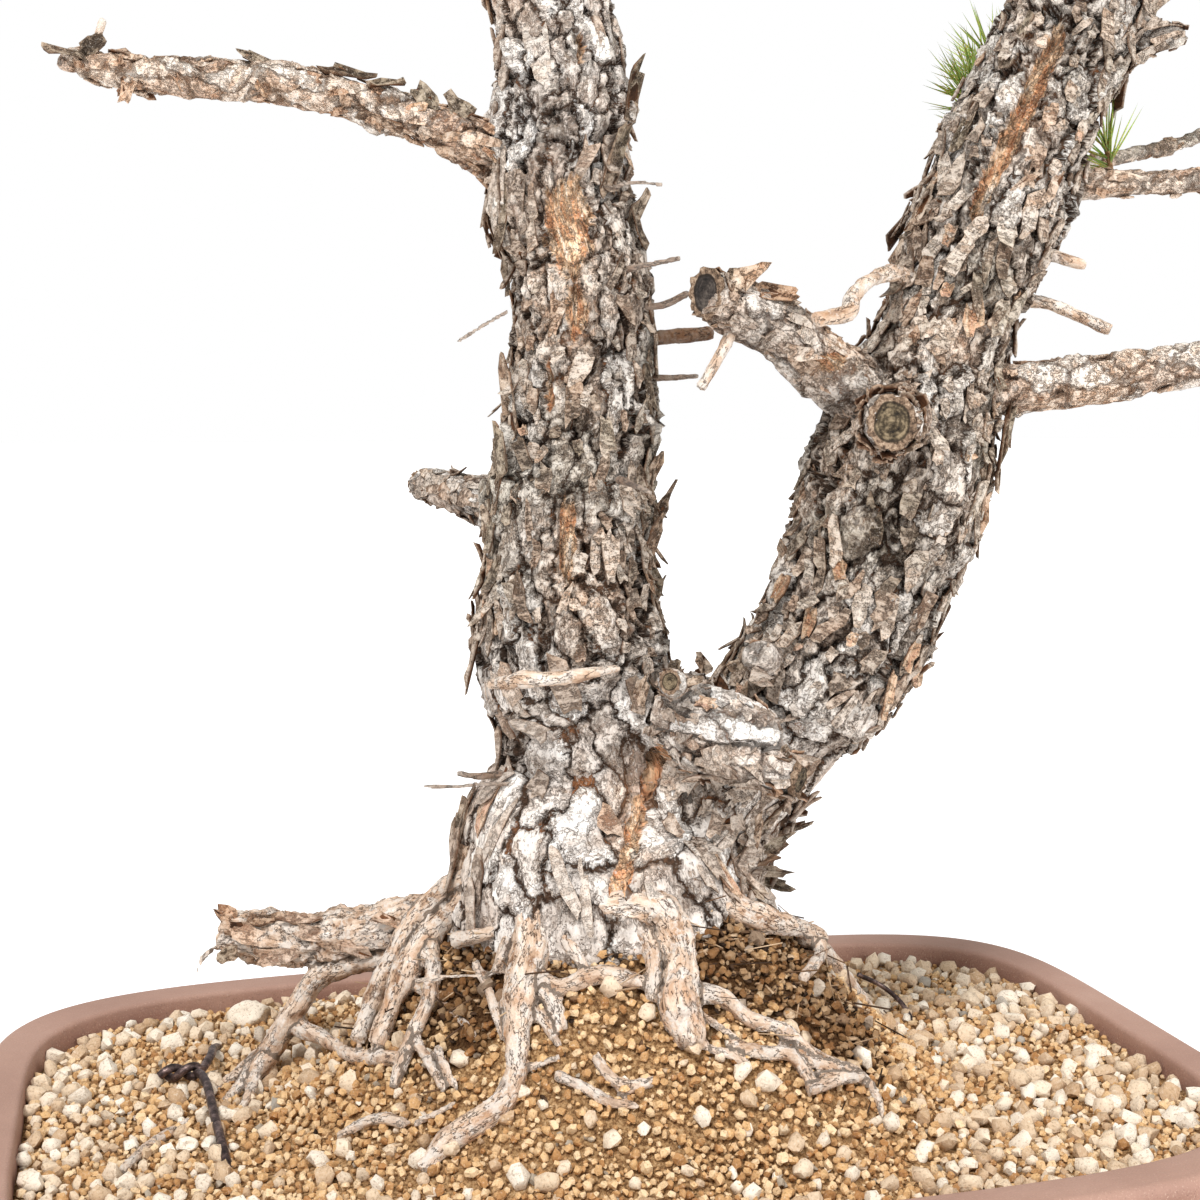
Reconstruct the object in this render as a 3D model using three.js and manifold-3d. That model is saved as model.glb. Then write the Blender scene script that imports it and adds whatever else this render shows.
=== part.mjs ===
// A scots pine bonsai: two trunks rise from one exposed root base, in a low clay pot.
// Millimetres, +Z up. The origin is the centre of the pot's middle foot, on the surface it stands on.
// +X runs along the pot's length.
import * as THREE from "three";
import { mergeVertices } from "three/addons/utils/BufferGeometryUtils.js";
import Module from "manifold-3d";

const wasm = await Module();
wasm.setup();

// Pot
const POT_LENGTH = 486;
const POT_WIDTH = 314;
const POT_HEIGHT = 100;
const POT_SQUARENESS = 4.86;
const POT_SEGMENTS = 40;
const RIM_WIDTH = 17.5;
const RIM_LIP_HEIGHT = 15;
const FLOOR_BOTTOM = 8;
const FLOOR_TOP = 20;
const FLOOR_CURVE = 5;
const BASE_INSET = 30;
const CAVITY_BASE_INSET = 32;
const CAVITY_FLOOR_INSET = 40;
const FOOT_LENGTH = 60;
const FOOT_WIDTH = 42;
const FOOT_CORNER = 9;
const FOOT_SINK = 4;
const CORNER_FOOT_X = 168;
const CORNER_FOOT_Y = 92;
const DRAIN_X = 110;
const DRAIN_RADIUS = 14;
const DRAIN_SIDES = 20;
const WIRE_HOLE_X = 150;
const WIRE_HOLE_Y = 45;
const WIRE_HOLE_RADIUS = 4.5;
const WIRE_HOLE_SIDES = 8;

// Drain mesh and its clip
const MESH_SIZE = 46;
const MESH_THICKNESS = 1.5;
const MESH_CELLS = 4;
const MESH_PITCH = 10;
const MESH_HOLE = 6.5;
const CLIP_WIRE_RADIUS = 0.8;
const CLIP_HALF_WIDTH = MESH_PITCH / 2;
const CLIP_REACH = 22;

// Soil
const SOIL_BELOW_RIM = 8;
const MOUND_RISE = 103;
const MOUND_X = 5;
const MOUND_Y = 5;
const MOUND_HALF_LENGTH = 148;
const MOUND_HALF_WIDTH = 125;
const SOIL_SEGMENTS = 32;
const MOUND_RINGS = 8;

// The tree is planted turned in its pot, so its own X and Y run at this angle to the pot's
const PLANTING_TURN = THREE.MathUtils.degToRad(-14.5);

// Clearance kept between pieces that touch
const GAP = 0.3;

// Tie wires
const TIE_WIRE_RADIUS = 1.75;
const THIN_TIE_WIRE_RADIUS = 1.1;
const TIE_WIRE_TAIL = 16;
const TIE_WIRE_STRAIGHT = 6;
const WIRE_SIDES = 6;
const WIRE_STEP = 4.5;

// Solids

function solid(geometry) {
  const bare = geometry.clone();
  bare.deleteAttribute("normal");
  bare.deleteAttribute("uv");
  const merged = mergeVertices(bare, 1e-4);
  const corners = merged.index.array;
  const kept = [];
  for (let i = 0; i < corners.length; i += 3) {
    const [a, b, c] = corners.slice(i, i + 3);
    if (a !== b && b !== c && c !== a) kept.push(a, b, c);
  }
  return new wasm.Manifold(
    new wasm.Mesh({
      numProp: 3,
      vertProperties: Float32Array.from(merged.attributes.position.array),
      triVerts: Uint32Array.from(kept),
    }),
  );
}

function joined(solids) {
  return solids.reduce((whole, next) => whole.add(next));
}

function geometryOf(shape) {
  const mesh = shape.getMesh();
  const geometry = new THREE.BufferGeometry();
  geometry.setAttribute("position", new THREE.BufferAttribute(mesh.vertProperties, 3));
  geometry.setIndex(new THREE.BufferAttribute(mesh.triVerts, 1));
  return geometry;
}

function piece(name, shape, look) {
  const geometry = geometryOf(shape);
  geometry.computeVertexNormals();
  const mesh = new THREE.Mesh(geometry, new THREE.MeshStandardMaterial(look));
  mesh.name = name;
  return mesh;
}

function moveCorners(geometry, move) {
  const place = geometry.attributes.position;
  const corner = new THREE.Vector3();
  for (let i = 0; i < place.count; i += 1) {
    corner.fromBufferAttribute(place, i);
    move(corner);
    place.setXYZ(i, corner.x, corner.y, corner.z);
  }
  return geometry;
}

// A limb is a tapered round bar along a route of [x, y, z, radius] points.
// Its ring of sides is carried along the curve, so it narrows and bends as wood does.

function radiusAlong(route, fraction) {
  const reach = fraction * (route.length - 1);
  const from = Math.min(Math.floor(reach), route.length - 2);
  return THREE.MathUtils.lerp(route[from][3], route[from + 1][3], reach - from);
}

function limbGeometry(route, sides, step, grow = 0) {
  const points = route.map(([x, y, z]) => new THREE.Vector3(x, y, z));
  const curve = new THREE.CatmullRomCurve3(points, false, "centripetal");
  const rings = Math.max(3, Math.round(curve.getLength() / step));
  const frames = curve.computeFrenetFrames(rings);
  const bar = new THREE.CylinderGeometry(1, 1, 1, sides, rings);
  return moveCorners(bar, (corner) => {
    const ring = Math.round((corner.y + 0.5) * rings);
    const radius = radiusAlong(route, curve.getUtoTmapping(ring / rings)) + grow;
    const across = corner.x * radius;
    const aside = -corner.z * radius;
    corner.copy(curve.getPointAt(ring / rings));
    corner.addScaledVector(frames.normals[ring], across);
    corner.addScaledVector(frames.binormals[ring], aside);
    if (ring === 0) corner.addScaledVector(frames.tangents[0], -grow);
    if (ring === rings) corner.addScaledVector(frames.tangents[rings], grow);
  });
}

function limb(route, sides, step, grow = 0) {
  return solid(limbGeometry(route, sides, step, grow));
}

// The pot's plan is a squared oval. A lathe gives the rings, and each ring is drawn out
// to that plan with an even inset from the rim, so the walls keep their thickness.

function squared(value) {
  const size = Math.abs(value) < 1e-6 ? 0 : Math.abs(value) ** (2 / POT_SQUARENESS);
  return Math.sign(value) * size;
}

function squaredOval(ring, angle, core) {
  const narrower = (POT_LENGTH - POT_WIDTH) / 2;
  const halfWidth = ring > core ? ring - narrower : (ring * (core - narrower)) / core;
  return [squared(Math.cos(angle)) * ring, squared(Math.sin(angle)) * halfWidth];
}

function ovalGeometry(profile, coreInset) {
  const points = profile.map(([inset, height]) => new THREE.Vector2(POT_LENGTH / 2 - inset, height));
  const turned = new THREE.LatheGeometry(points, POT_SEGMENTS);
  turned.rotateX(Math.PI / 2);
  return moveCorners(turned, (corner) => {
    const ring = Math.hypot(corner.x, corner.y);
    if (ring < 1e-6) return;
    const segment = Math.round((Math.atan2(corner.y, corner.x) * POT_SEGMENTS) / (2 * Math.PI));
    const angle = (segment * 2 * Math.PI) / POT_SEGMENTS;
    [corner.x, corner.y] = squaredOval(ring, angle, POT_LENGTH / 2 - coreInset);
  });
}

function upright(radius, bottom, top, x, y, sides) {
  const post = new THREE.CylinderGeometry(radius, radius, top - bottom, sides);
  post.rotateX(Math.PI / 2);
  post.translate(x, y, (top + bottom) / 2);
  return solid(post);
}

function roundedBlock(length, width, corner, bottom, top, x, y) {
  const outline = new THREE.Shape();
  const [right, back] = [length / 2 - corner, width / 2 - corner];
  outline.absarc(right, back, corner, 0, Math.PI / 2);
  outline.absarc(-right, back, corner, Math.PI / 2, Math.PI);
  outline.absarc(-right, -back, corner, Math.PI, 1.5 * Math.PI);
  outline.absarc(right, -back, corner, 1.5 * Math.PI, 2 * Math.PI);
  const options = { depth: top - bottom, bevelEnabled: false, curveSegments: 3 };
  const block = new THREE.ExtrudeGeometry(outline, options);
  block.translate(x, y, bottom);
  return solid(block);
}

const CENTRE_INSET = POT_LENGTH / 2;

const outerProfile = [
  [CENTRE_INSET, FLOOR_BOTTOM],
  [BASE_INSET + 4, FLOOR_BOTTOM],
  [BASE_INSET - 3, FLOOR_BOTTOM + FLOOR_CURVE],
  [12, 60],
  [8, POT_HEIGHT - RIM_LIP_HEIGHT - 3],
  [3, POT_HEIGHT - RIM_LIP_HEIGHT],
  [0, POT_HEIGHT - RIM_LIP_HEIGHT + 4],
  [0, POT_HEIGHT - 4],
  [1.2, POT_HEIGHT - 1.2],
  [4, POT_HEIGHT],
];

const cavityProfile = [
  [RIM_WIDTH - 1.5, POT_HEIGHT],
  [RIM_WIDTH, POT_HEIGHT - 1.5],
  [RIM_WIDTH + 5, 50],
  [CAVITY_BASE_INSET, FLOOR_TOP + FLOOR_CURVE],
  [CAVITY_FLOOR_INSET, FLOOR_TOP],
  [CENTRE_INSET, FLOOR_TOP],
];

function potBody() {
  let shape = solid(ovalGeometry([...outerProfile, ...cavityProfile], CAVITY_FLOOR_INSET));
  const feet = [[0, 0]];
  for (const x of [-CORNER_FOOT_X, CORNER_FOOT_X]) {
    for (const y of [-CORNER_FOOT_Y, CORNER_FOOT_Y]) feet.push([x, y]);
  }
  for (const [x, y] of feet) {
    shape = shape.add(
      roundedBlock(FOOT_LENGTH, FOOT_WIDTH, FOOT_CORNER, 0, FLOOR_BOTTOM + FOOT_SINK, x, y),
    );
  }
  const through = FLOOR_TOP + FLOOR_CURVE;
  for (const side of [-1, 1]) {
    shape = shape.subtract(upright(DRAIN_RADIUS, 0, through, side * DRAIN_X, 0, DRAIN_SIDES));
    for (const y of [-WIRE_HOLE_Y, WIRE_HOLE_Y]) {
      const hole = upright(WIRE_HOLE_RADIUS, 0, through, side * WIRE_HOLE_X, y, WIRE_HOLE_SIDES);
      shape = shape.subtract(hole);
    }
  }
  return shape;
}

// The drain mesh is a square of plastic grid, and the clip is one wire staple: over the
// mesh, down through the drain hole, and out under the floor on both sides.

function block(length, width, height, x, y, z) {
  return new THREE.BoxGeometry(length, width, height).translate(x, y, z);
}

function drainMesh(x) {
  const height = FLOOR_TOP + GAP + MESH_THICKNESS / 2;
  const middle = (MESH_CELLS - 1) / 2;
  let grid = solid(block(MESH_SIZE, MESH_SIZE, MESH_THICKNESS, x, 0, height));
  for (let row = 0; row < MESH_CELLS; row += 1) {
    for (let column = 0; column < MESH_CELLS; column += 1) {
      const across = x + (column - middle) * MESH_PITCH;
      const along = (row - middle) * MESH_PITCH;
      grid = grid.subtract(solid(block(MESH_HOLE, MESH_HOLE, 3 * MESH_THICKNESS, across, along, height)));
    }
  }
  return grid;
}

function meshClipGeometry(x, grow = 0) {
  const over = FLOOR_TOP + MESH_THICKNESS + 2 * GAP + CLIP_WIRE_RADIUS;
  const under = FLOOR_BOTTOM - GAP - CLIP_WIRE_RADIUS;
  const bend = 1.5;
  const half = [
    [CLIP_REACH, under],
    [CLIP_HALF_WIDTH + bend, under],
    [CLIP_HALF_WIDTH, under + bend],
    [CLIP_HALF_WIDTH, over - bend],
    [CLIP_HALF_WIDTH - bend, over],
  ];
  const mirrored = half.map(([out, height]) => [-out, height]).reverse();
  const line = MESH_PITCH / 2;
  const route = [...half, ...mirrored].map(([out, height]) => [x + out, line, height, CLIP_WIRE_RADIUS]);
  return limbGeometry(route, WIRE_SIDES, WIRE_STEP, grow);
}

// Wood, in the planting's own frame: X to the right and Y to the back of the tree's front view.
// Each route is [x, y, z, radius], from the limb's root to its end.

const trunks = {
  leftTrunk: [
    [-1, 15, 125, 60], [-1, 15, 157, 65], [-4, 14, 178, 61], [-7, 14, 198, 53], [-5, 14, 222, 40],
    [-9, 15, 247, 36], [-15, 15, 271, 37], [-16, 16, 319, 32], [-10, 17, 366, 28], [-12, 18, 417, 25],
    [-19, 19, 444, 27], [-19, 20, 498, 24], [-26, 22, 530, 22], [-30, 25, 580, 19], [-18, 20, 640, 16],
    [-2, 15, 690, 12], [8, 12, 740, 8], [4, 10, 785, 5], [0, 10, 814, 3],
  ],
  rightTrunk: [
    [24, 14, 150, 35], [33, 14, 171, 31], [38, 12, 195, 29], [51, 10, 217, 28], [72, 6, 246, 30],
    [91, 3, 273, 32], [111, 0, 328, 32], [125, 6, 385, 29], [146, 12, 437, 28], [169, 17, 489, 26],
    [187, 18, 525, 24], [212, 20, 570, 20], [225, 15, 620, 15], [245, 12, 665, 10], [250, 10, 705, 6],
    [252, 10, 734, 3],
  ],
  fork: [[18, 14, 200, 36], [33, 12, 234, 28], [37, 12, 256, 15]],
};

const sawnAndDeadWood = {
  deadBranch: [
    [-18, 19, 450, 12], [-34, 18, 457, 12], [-53, 12, 466, 9.6], [-72, 8, 472, 8], [-117, 3, 485, 7.2],
    [-166, 2, 488, 6.8], [-189, 3, 491, 6.6], [-202, 4, 494, 5], [-209, 5, 493, 2],
  ],
  deadBranchTwig: [[-197, 3, 488, 2.4], [-196, 3, 494, 2.3], [-190, 0, 509, 1.8]],
  leftBackStub: [[-28, 28, 320, 11], [-44, 45, 323, 9.5], [-60, 60, 327, 8.4], [-80, 76, 331, 5.6]],
  risingStub: [
    [118, 4, 356, 12], [113, 0, 366, 12.7], [79, -22, 390, 10.8], [50, -36, 403, 9.4],
    [36, -42, 404, 8.3],
  ],
  frontStub: [[113, 0, 360, 17], [108, -24, 360, 16.5], [104, -45, 359, 15.1], [99, -75, 359, 13.1]],
  hookedJin: [
    [124, -4, 406, 4.4], [112, -18, 409, 4], [104, -32, 411, 3.6], [95, -42, 409, 3.1],
    [88, -50, 404, 2.7], [73, -66, 393, 2.4],
  ],
  hangingTwig: [[48, -34, 396, 2.6], [45, -38, 391, 2.4], [40, -42, 381, 2.2], [33, -46, 370, 2.2]],
  upperRightJin: [[146, 8, 425, 3.4], [155, 5, 424, 3.1], [167, 2, 422, 2.7], [182, -3, 417, 2.3]],
  lowerRightJin: [[145, 9, 403, 3.3], [154, 8, 403, 3.1], [168, 8, 404, 2.5], [194, 4, 393, 2.3]],
  topRightStub: [[178, 16, 513, 9], [191, 14, 510, 8.8], [203, 8, 505, 7.2], [217, -2, 502, 3.4]],
  backTwig: [[6, 24, 388, 4.2], [13, 30, 390, 4], [26, 42, 392, 3.7], [43, 55, 394, 3.5]],
  baseStub: [[24, -10, 237, 12], [38, -26, 237, 11.4], [56, -38, 232, 9.2], [69, -46, 228, 7.2]],
  baseBulge: [[28, -14, 247, 12], [35, -24, 246, 11.4], [49, -34, 245, 9.7], [62, -38, 241, 7.4]],
  roundStub: [[26, -12, 256, 5], [26, -22, 258, 4.9], [23, -45, 263, 4.6]],
  sideKnot: [[62, -8, 266, 7], [59, -22, 268, 6.5], [55, -36, 273, 4.8]],
};

const livingBranches = {
  left1: [[-25, 22, 560, 9], [-80, 9, 586, 7.5], [-140, -5, 590, 6], [-190, -12, 602, 3.5]],
  left2: [[-16, 18, 648, 7], [20, -18, 656, 6], [45, -45, 655, 4.8], [66, -60, 662, 3]],
  left3: [[-27, 24, 600, 8], [-60, 70, 625, 6.5], [-84, 104, 632, 5], [-96, 126, 642, 3.2]],
  left4: [[-7, 17, 674, 6.5], [30, 50, 687, 5.5], [58, 78, 693, 4.2], [76, 92, 701, 2.8]],
  left5: [[-12, 18, 662, 6.5], [-52, -14, 681, 5.5], [-88, -42, 688, 4.2], [-112, -56, 698, 2.8]],
  left6: [[5, 13, 718, 4.5], [30, 5, 729, 3.6], [54, -4, 738, 2.4]],
  left7: [[7, 12, 746, 4], [-20, 19, 757, 3.4], [-48, 23, 769, 2.4]],
  left9: [[-26, 25, 556, 8], [-15, 80, 576, 6.5], [-5, 120, 585, 5], [0, 146, 594, 3.2]],
  right1: [
    [124, 2, 367, 12], [136, 0, 369, 11.5], [173, -3, 372, 8.8], [226, -5, 380, 7.6], [270, -6, 388, 6.4],
    [320, -10, 400, 4.8], [358, -14, 408, 3],
  ],
  right2: [
    [160, 15, 452, 8], [184, 15, 450, 5.8], [230, 15, 451, 5], [270, 18, 460, 4.2], [308, 22, 473, 3],
  ],
  right3: [
    [166, 22, 456, 3.6], [189, 35, 460, 3], [227, 58, 469, 2.7], [262, 76, 482, 2.6], [294, 90, 499, 2.2],
  ],
  right4: [[160, 20, 458, 6], [160, 54, 482, 5], [168, 82, 498, 3.8], [174, 98, 504, 2.6]],
  right5: [[208, 20, 566, 7], [166, 5, 591, 5.6], [140, -6, 600, 4.2], [118, -10, 607, 2.8]],
  right6: [[222, 17, 608, 7], [270, 8, 621, 5.4], [300, 2, 626, 4.2], [330, 0, 632, 2.8]],
  right7: [[223, 16, 616, 6.5], [226, 60, 636, 5], [228, 84, 643, 4], [230, 106, 652, 2.8]],
  right8: [[232, 14, 640, 6], [222, -30, 656, 4.6], [217, -52, 660, 3.8], [214, -70, 667, 2.6]],
};

const TRUNK_SIDES = 12;
const TRUNK_STEP = 26;
const STUB_SIDES = 7;
const STUB_STEP = 20;
const BRANCH_SIDES = 6;
const BRANCH_STEP = 30;
const ROOT_SIDES = 6;
const ROOT_STEP = 16;

const roots = {
  front: [
    [-26, -6, 194, 9], [-28, -22, 184, 8.5], [-29, -43, 162, 6.8], [-32, -54, 148, 5.8],
    [-34, -74, 124, 4.8], [-42, -81, 114, 4.8], [-56, -84, 106, 4.4], [-66, -90, 97, 3],
  ],
  leftUpper: [
    [-26, -2, 188, 7.5], [-46, -5, 177, 6.2], [-61, 1, 166, 5.8], [-71, -6, 155, 5.5], [-79, -17, 144, 4.9],
    [-84, -27, 132, 3.8], [-88, -34, 122, 3],
  ],
  leftLower: [
    [-42, 4, 184, 6.5], [-54, 0, 179, 6], [-65, 3, 172, 5], [-77, 0, 159, 5], [-84, -5, 146, 4.8],
    [-91, -10, 134, 4.3], [-96, -28, 122, 3.2],
  ],
  farLeft: [
    [-70, 8, 149, 5.6], [-83, 8, 145, 5.2], [-106, 14, 138, 4.8], [-118, 15, 133, 4.8], [-128, 15, 118, 4.8],
    [-137, 18, 103, 4.6], [-144, 17, 95, 4.6],
  ],
  farLeftFingerBack: [[-138, 18, 100, 4.4], [-143, 24, 97, 3.7], [-150, 12, 94, 2.6], [-158, 0, 91, 1.8]],
  farLeftFingerMiddle: [[-138, 18, 100, 4.2], [-143, 15, 96, 3.7], [-146, 1, 94, 2.8], [-151, -16, 91, 1.9]],
  farLeftFingerFront: [[-138, 18, 99, 4.2], [-142, 8, 96, 3.4], [-141, -6, 95, 2.6], [-142, -24, 92, 1.8]],
  raisedLog: [
    [-50, 8, 166, 10], [-67, 6, 162, 10], [-103, 16, 151, 10.6], [-125, 22, 147, 11.5], [-143, 26, 146, 11],
    [-156, 28, 149, 7.5],
  ],
  lowLeft: [[-128, 16, 112, 4], [-110, -3, 112, 2.9], [-98, -24, 114, 2.9], [-77, -48, 122, 3]],
  forkLeft: [
    [-71, -6, 154, 4], [-67, -24, 147, 3.4], [-69, -40, 138, 2.8], [-72, -44, 132, 2.8],
    [-79, -57, 114, 2],
  ],
  frontRight: [
    [4, -22, 184, 10], [-4, -36, 176, 9.4], [8, -37, 177, 9], [20, -39, 174, 8.6], [26, -46, 163, 7.6],
    [27, -53, 154, 7.6], [26, -61, 146, 8], [31, -68, 134, 5],
  ],
  rightLong: [
    [24, -52, 154, 4.5], [32, -55, 150, 3.9], [43, -54, 147, 3.4], [52, -57, 140, 3], [65, -54, 135, 2.9],
    [76, -55, 126, 2.7], [92, -49, 118, 2.2],
  ],
  rightBack: [
    [40, -22, 178, 6.4], [53, -22, 171, 5.7], [65, -18, 165, 4.6], [76, -8, 160, 4.2], [85, 2, 153, 4],
  ],
  rightTail: [
    [77, -6, 156, 3.8], [85, 6, 148, 3.4], [98, 24, 130, 3], [114, 46, 107, 2.6], [128, 66, 93, 2.2],
  ],
  backLeft: [
    [-36, 38, 190, 10], [-52, 50, 158, 8.5], [-66, 62, 130, 7], [-84, 76, 106, 6], [-98, 88, 94, 4],
    [-108, 98, 88, 3],
  ],
  backMiddle: [
    [2, 46, 190, 10], [4, 60, 163, 9], [6, 78, 139, 7], [2, 94, 119, 5.5], [10, 110, 102, 4.4],
    [8, 122, 91, 3],
  ],
  backRight: [
    [42, 34, 186, 10], [60, 52, 149, 8], [76, 64, 125, 6.4], [90, 76, 106, 5], [104, 88, 93, 3.6],
    [114, 97, 88, 3],
  ],
};

function limbsOf(family, sides, step, grow) {
  return Object.values(family).map((route) => limb(route, sides, step, grow));
}

function wood(grow = 0) {
  return joined([
    ...limbsOf(trunks, TRUNK_SIDES, TRUNK_STEP, grow),
    ...limbsOf(sawnAndDeadWood, STUB_SIDES, STUB_STEP, grow),
    ...limbsOf(livingBranches, BRANCH_SIDES, BRANCH_STEP, grow),
    ...limbsOf(roots, ROOT_SIDES, ROOT_STEP, grow),
  ]);
}

// Needle pads: a domed cloud, flatter beneath, round the end of its branch.
// Each is [x, y, z] of its middle and [half length, half width, half height].

const leftPads = [
  [[-192, -12, 611], [75, 60, 27]],
  [[64, -60, 670], [66, 55, 24]],
  [[-92, 122, 651], [70, 59, 24]],
  [[72, 90, 709], [62, 56, 23]],
  [[-108, -54, 707], [62, 54, 23]],
  [[52, -3, 746], [47, 44, 19]],
  [[-46, 22, 777], [45, 43, 19]],
  [[2, 10, 824], [50, 47, 25]],
  [[0, 142, 603], [72, 60, 24]],
];

const rightPads = [
  [[352, -12, 417], [70, 58, 24]],
  [[303, 22, 482], [50, 43, 19]],
  [[299, 92, 509], [44, 40, 16]],
  [[174, 100, 512], [34, 32, 13]],
  [[118, -10, 615], [60, 50, 22]],
  [[328, 0, 641], [66, 58, 24]],
  [[230, 108, 661], [62, 56, 23]],
  [[214, -70, 676], [60, 52, 22]],
  [[252, 10, 744], [54, 50, 25]],
];

const PAD_SIDES = 10;
const PAD_RINGS = 5;
const UNDERSIDE_FLATNESS = 0.6;

function needlePad([middle, halves], branches) {
  const [halfLength, halfWidth, halfHeight] = halves;
  const cloud = new THREE.SphereGeometry(1, PAD_SIDES, PAD_RINGS);
  cloud.rotateX(Math.PI / 2);
  moveCorners(cloud, (corner) => {
    const lower = corner.z < 0 ? UNDERSIDE_FLATNESS : 1;
    corner.x *= halfLength;
    corner.y *= halfWidth;
    corner.z *= halfHeight * lower;
  });
  cloud.translate(...middle);
  return solid(cloud).subtract(branches);
}

// Tie wires hold the root mass down. The two left strands are twisted together on the soil.

function twist(start, end, phase, radius) {
  const turns = 1;
  const stepsPerTurn = 8;
  const axis = new THREE.Vector3().subVectors(end, start);
  const along = axis.clone().normalize();
  const up = new THREE.Vector3(0, 0, 1);
  const across = new THREE.Vector3().crossVectors(along, up).normalize();
  const reach = TIE_WIRE_RADIUS * 1.08 + GAP / 2;
  const points = [];
  const steps = turns * stepsPerTurn;
  for (let i = 0; i <= steps; i += 1) {
    const angle = phase + (i / stepsPerTurn) * 2 * Math.PI;
    const point = start.clone().addScaledVector(axis, i / steps);
    point.addScaledVector(across, Math.cos(angle) * reach);
    point.addScaledVector(up, Math.sin(angle) * reach);
    points.push([point.x, point.y, point.z, radius]);
  }
  return points;
}

function plantingPoint(x, y) {
  const point = new THREE.Vector3(x, y, 0).applyAxisAngle(new THREE.Vector3(0, 0, 1), -PLANTING_TURN);
  return [point.x, point.y];
}

function wireRoute(radius, holeX, holeY, rise, surface) {
  const [x, y] = plantingPoint(holeX, holeY);
  const [bentX, bentY] = plantingPoint(holeX - Math.sign(holeX) * TIE_WIRE_TAIL, holeY);
  const under = FLOOR_BOTTOM - 2 * GAP - radius;
  const below = [[bentX, bentY, under], [x, y, under + 1], [x, y, FLOOR_TOP + TIE_WIRE_STRAIGHT]];
  return [...below, ...rise, ...surface].map(([a, b, c]) => [a, b, c, radius]);
}

const TWIST_START = new THREE.Vector3(-163, 0, 99);
const TWIST_END = new THREE.Vector3(-179, 2, 97);

const frontStrand = [
  ...wireRoute(
    TIE_WIRE_RADIUS,
    -WIRE_HOLE_X,
    -WIRE_HOLE_Y,
    [[-132, -80, 70]],
    [[-137, -73, 90], [-148, -43, 97], [-157, -16, 100]],
  ),
  ...twist(TWIST_START, TWIST_END, Math.PI, TIE_WIRE_RADIUS),
];

const backStrand = [
  ...wireRoute(
    TIE_WIRE_RADIUS,
    -WIRE_HOLE_X,
    WIRE_HOLE_Y,
    [[-165, 58, 70]],
    [[-166, 52, 88], [-165, 34, 96], [-162, 15, 100]],
  ),
  ...twist(TWIST_START, TWIST_END, 0, TIE_WIRE_RADIUS),
];

const rightStrand = wireRoute(
  THIN_TIE_WIRE_RADIUS,
  WIRE_HOLE_X,
  WIRE_HOLE_Y,
  [[138, 78, 70]],
  [[137, 82, 88], [134, 92, 95], [126, 100, 101], [114, 96, 108]],
);

function tieWire(route, grow = 0) {
  return limb(route, WIRE_SIDES, WIRE_STEP, grow);
}

// The loose stones are squashed icosahedra: [x, y] and half length. They lie on the soil.

const stones = [
  [-158, 77, 10.2],
  [184, 103, 6.2],
  [173, -6, 5.2],
  [-155, -60, 4.4],
  [-204, -90, 5],
  [197, -20, 4.6],
];

const STONE_NARROWNESS = 0.8;
const STONE_FLATNESS = 0.62;
const STONE_SINK = 0.25;
const STONE_TURN = 1.1;

function soilHeight(x, y) {
  const spread = ((x - MOUND_X) / MOUND_HALF_LENGTH) ** 2 + ((y - MOUND_Y) / MOUND_HALF_WIDTH) ** 2;
  return POT_HEIGHT - SOIL_BELOW_RIM + MOUND_RISE * Math.max(0, 1 - spread) ** 2;
}

function stone([x, y, half], turn, grow = 0) {
  const lump = new THREE.IcosahedronGeometry(1, 1);
  moveCorners(lump, (corner) => {
    corner.x *= half + grow;
    corner.y *= half * STONE_NARROWNESS + grow;
    corner.z *= half * STONE_FLATNESS + grow;
  });
  lump.rotateZ(turn * STONE_TURN);
  lump.translate(x, y, soilHeight(x, y) + half * (STONE_FLATNESS - STONE_SINK));
  return solid(lump);
}

// The soil fills the pot's cavity and rises in a mound under the trunks. Everything that
// stands in it has its own close channel.

function soilHeap() {
  const bottom = FLOOR_TOP - FLOOR_CURVE;
  const level = POT_HEIGHT - SOIL_BELOW_RIM;
  const rings = [new THREE.Vector2(0, bottom), new THREE.Vector2(POT_LENGTH, bottom)];
  rings.push(new THREE.Vector2(POT_LENGTH, level));
  for (let ring = MOUND_RINGS; ring >= 0; ring -= 1) {
    rings.push(new THREE.Vector2((MOUND_HALF_LENGTH * ring) / MOUND_RINGS, level));
  }
  const heap = new THREE.LatheGeometry(rings, SOIL_SEGMENTS);
  heap.rotateX(Math.PI / 2);
  heap.translate(MOUND_X, MOUND_Y, 0);
  return moveCorners(heap, (corner) => {
    if (corner.z > FLOOR_TOP) corner.z = soilHeight(corner.x, corner.y);
  });
}

function soilCavity() {
  const lifted = cavityProfile.map(([inset, height]) => [
    Math.min(inset + GAP, CENTRE_INSET),
    height === FLOOR_TOP ? height + GAP : height,
  ]);
  const aboveMound = POT_HEIGHT + MOUND_RISE;
  const open = [[CENTRE_INSET, aboveMound], [RIM_WIDTH, aboveMound]];
  return ovalGeometry([...open, ...lifted].reverse(), CAVITY_FLOOR_INSET);
}

function screenRecess(x) {
  const width = MESH_SIZE + 2 * GAP;
  return block(width, width, MESH_THICKNESS + 3 * GAP, x, 0, FLOOR_TOP + (MESH_THICKNESS + GAP) / 2);
}

// Assembly. The pot and its fittings stay square to X and Y, and the planting is turned.

const CLAY = { color: 0x8a6554, roughness: 0.62, metalness: 0 };
const SOIL = { color: 0xc29a66, roughness: 0.95, metalness: 0 };
const PUMICE = { color: 0xe0cfae, roughness: 0.9, metalness: 0 };
const BARK = { color: 0x94867a, roughness: 0.92, metalness: 0 };
const NEEDLES = { color: 0x5d7f4e, roughness: 0.6, metalness: 0 };
const WIRE = { color: 0x55504c, roughness: 0.45, metalness: 0.8 };
const MESH_PLASTIC = { color: 0x1d1f20, roughness: 0.55, metalness: 0 };

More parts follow.
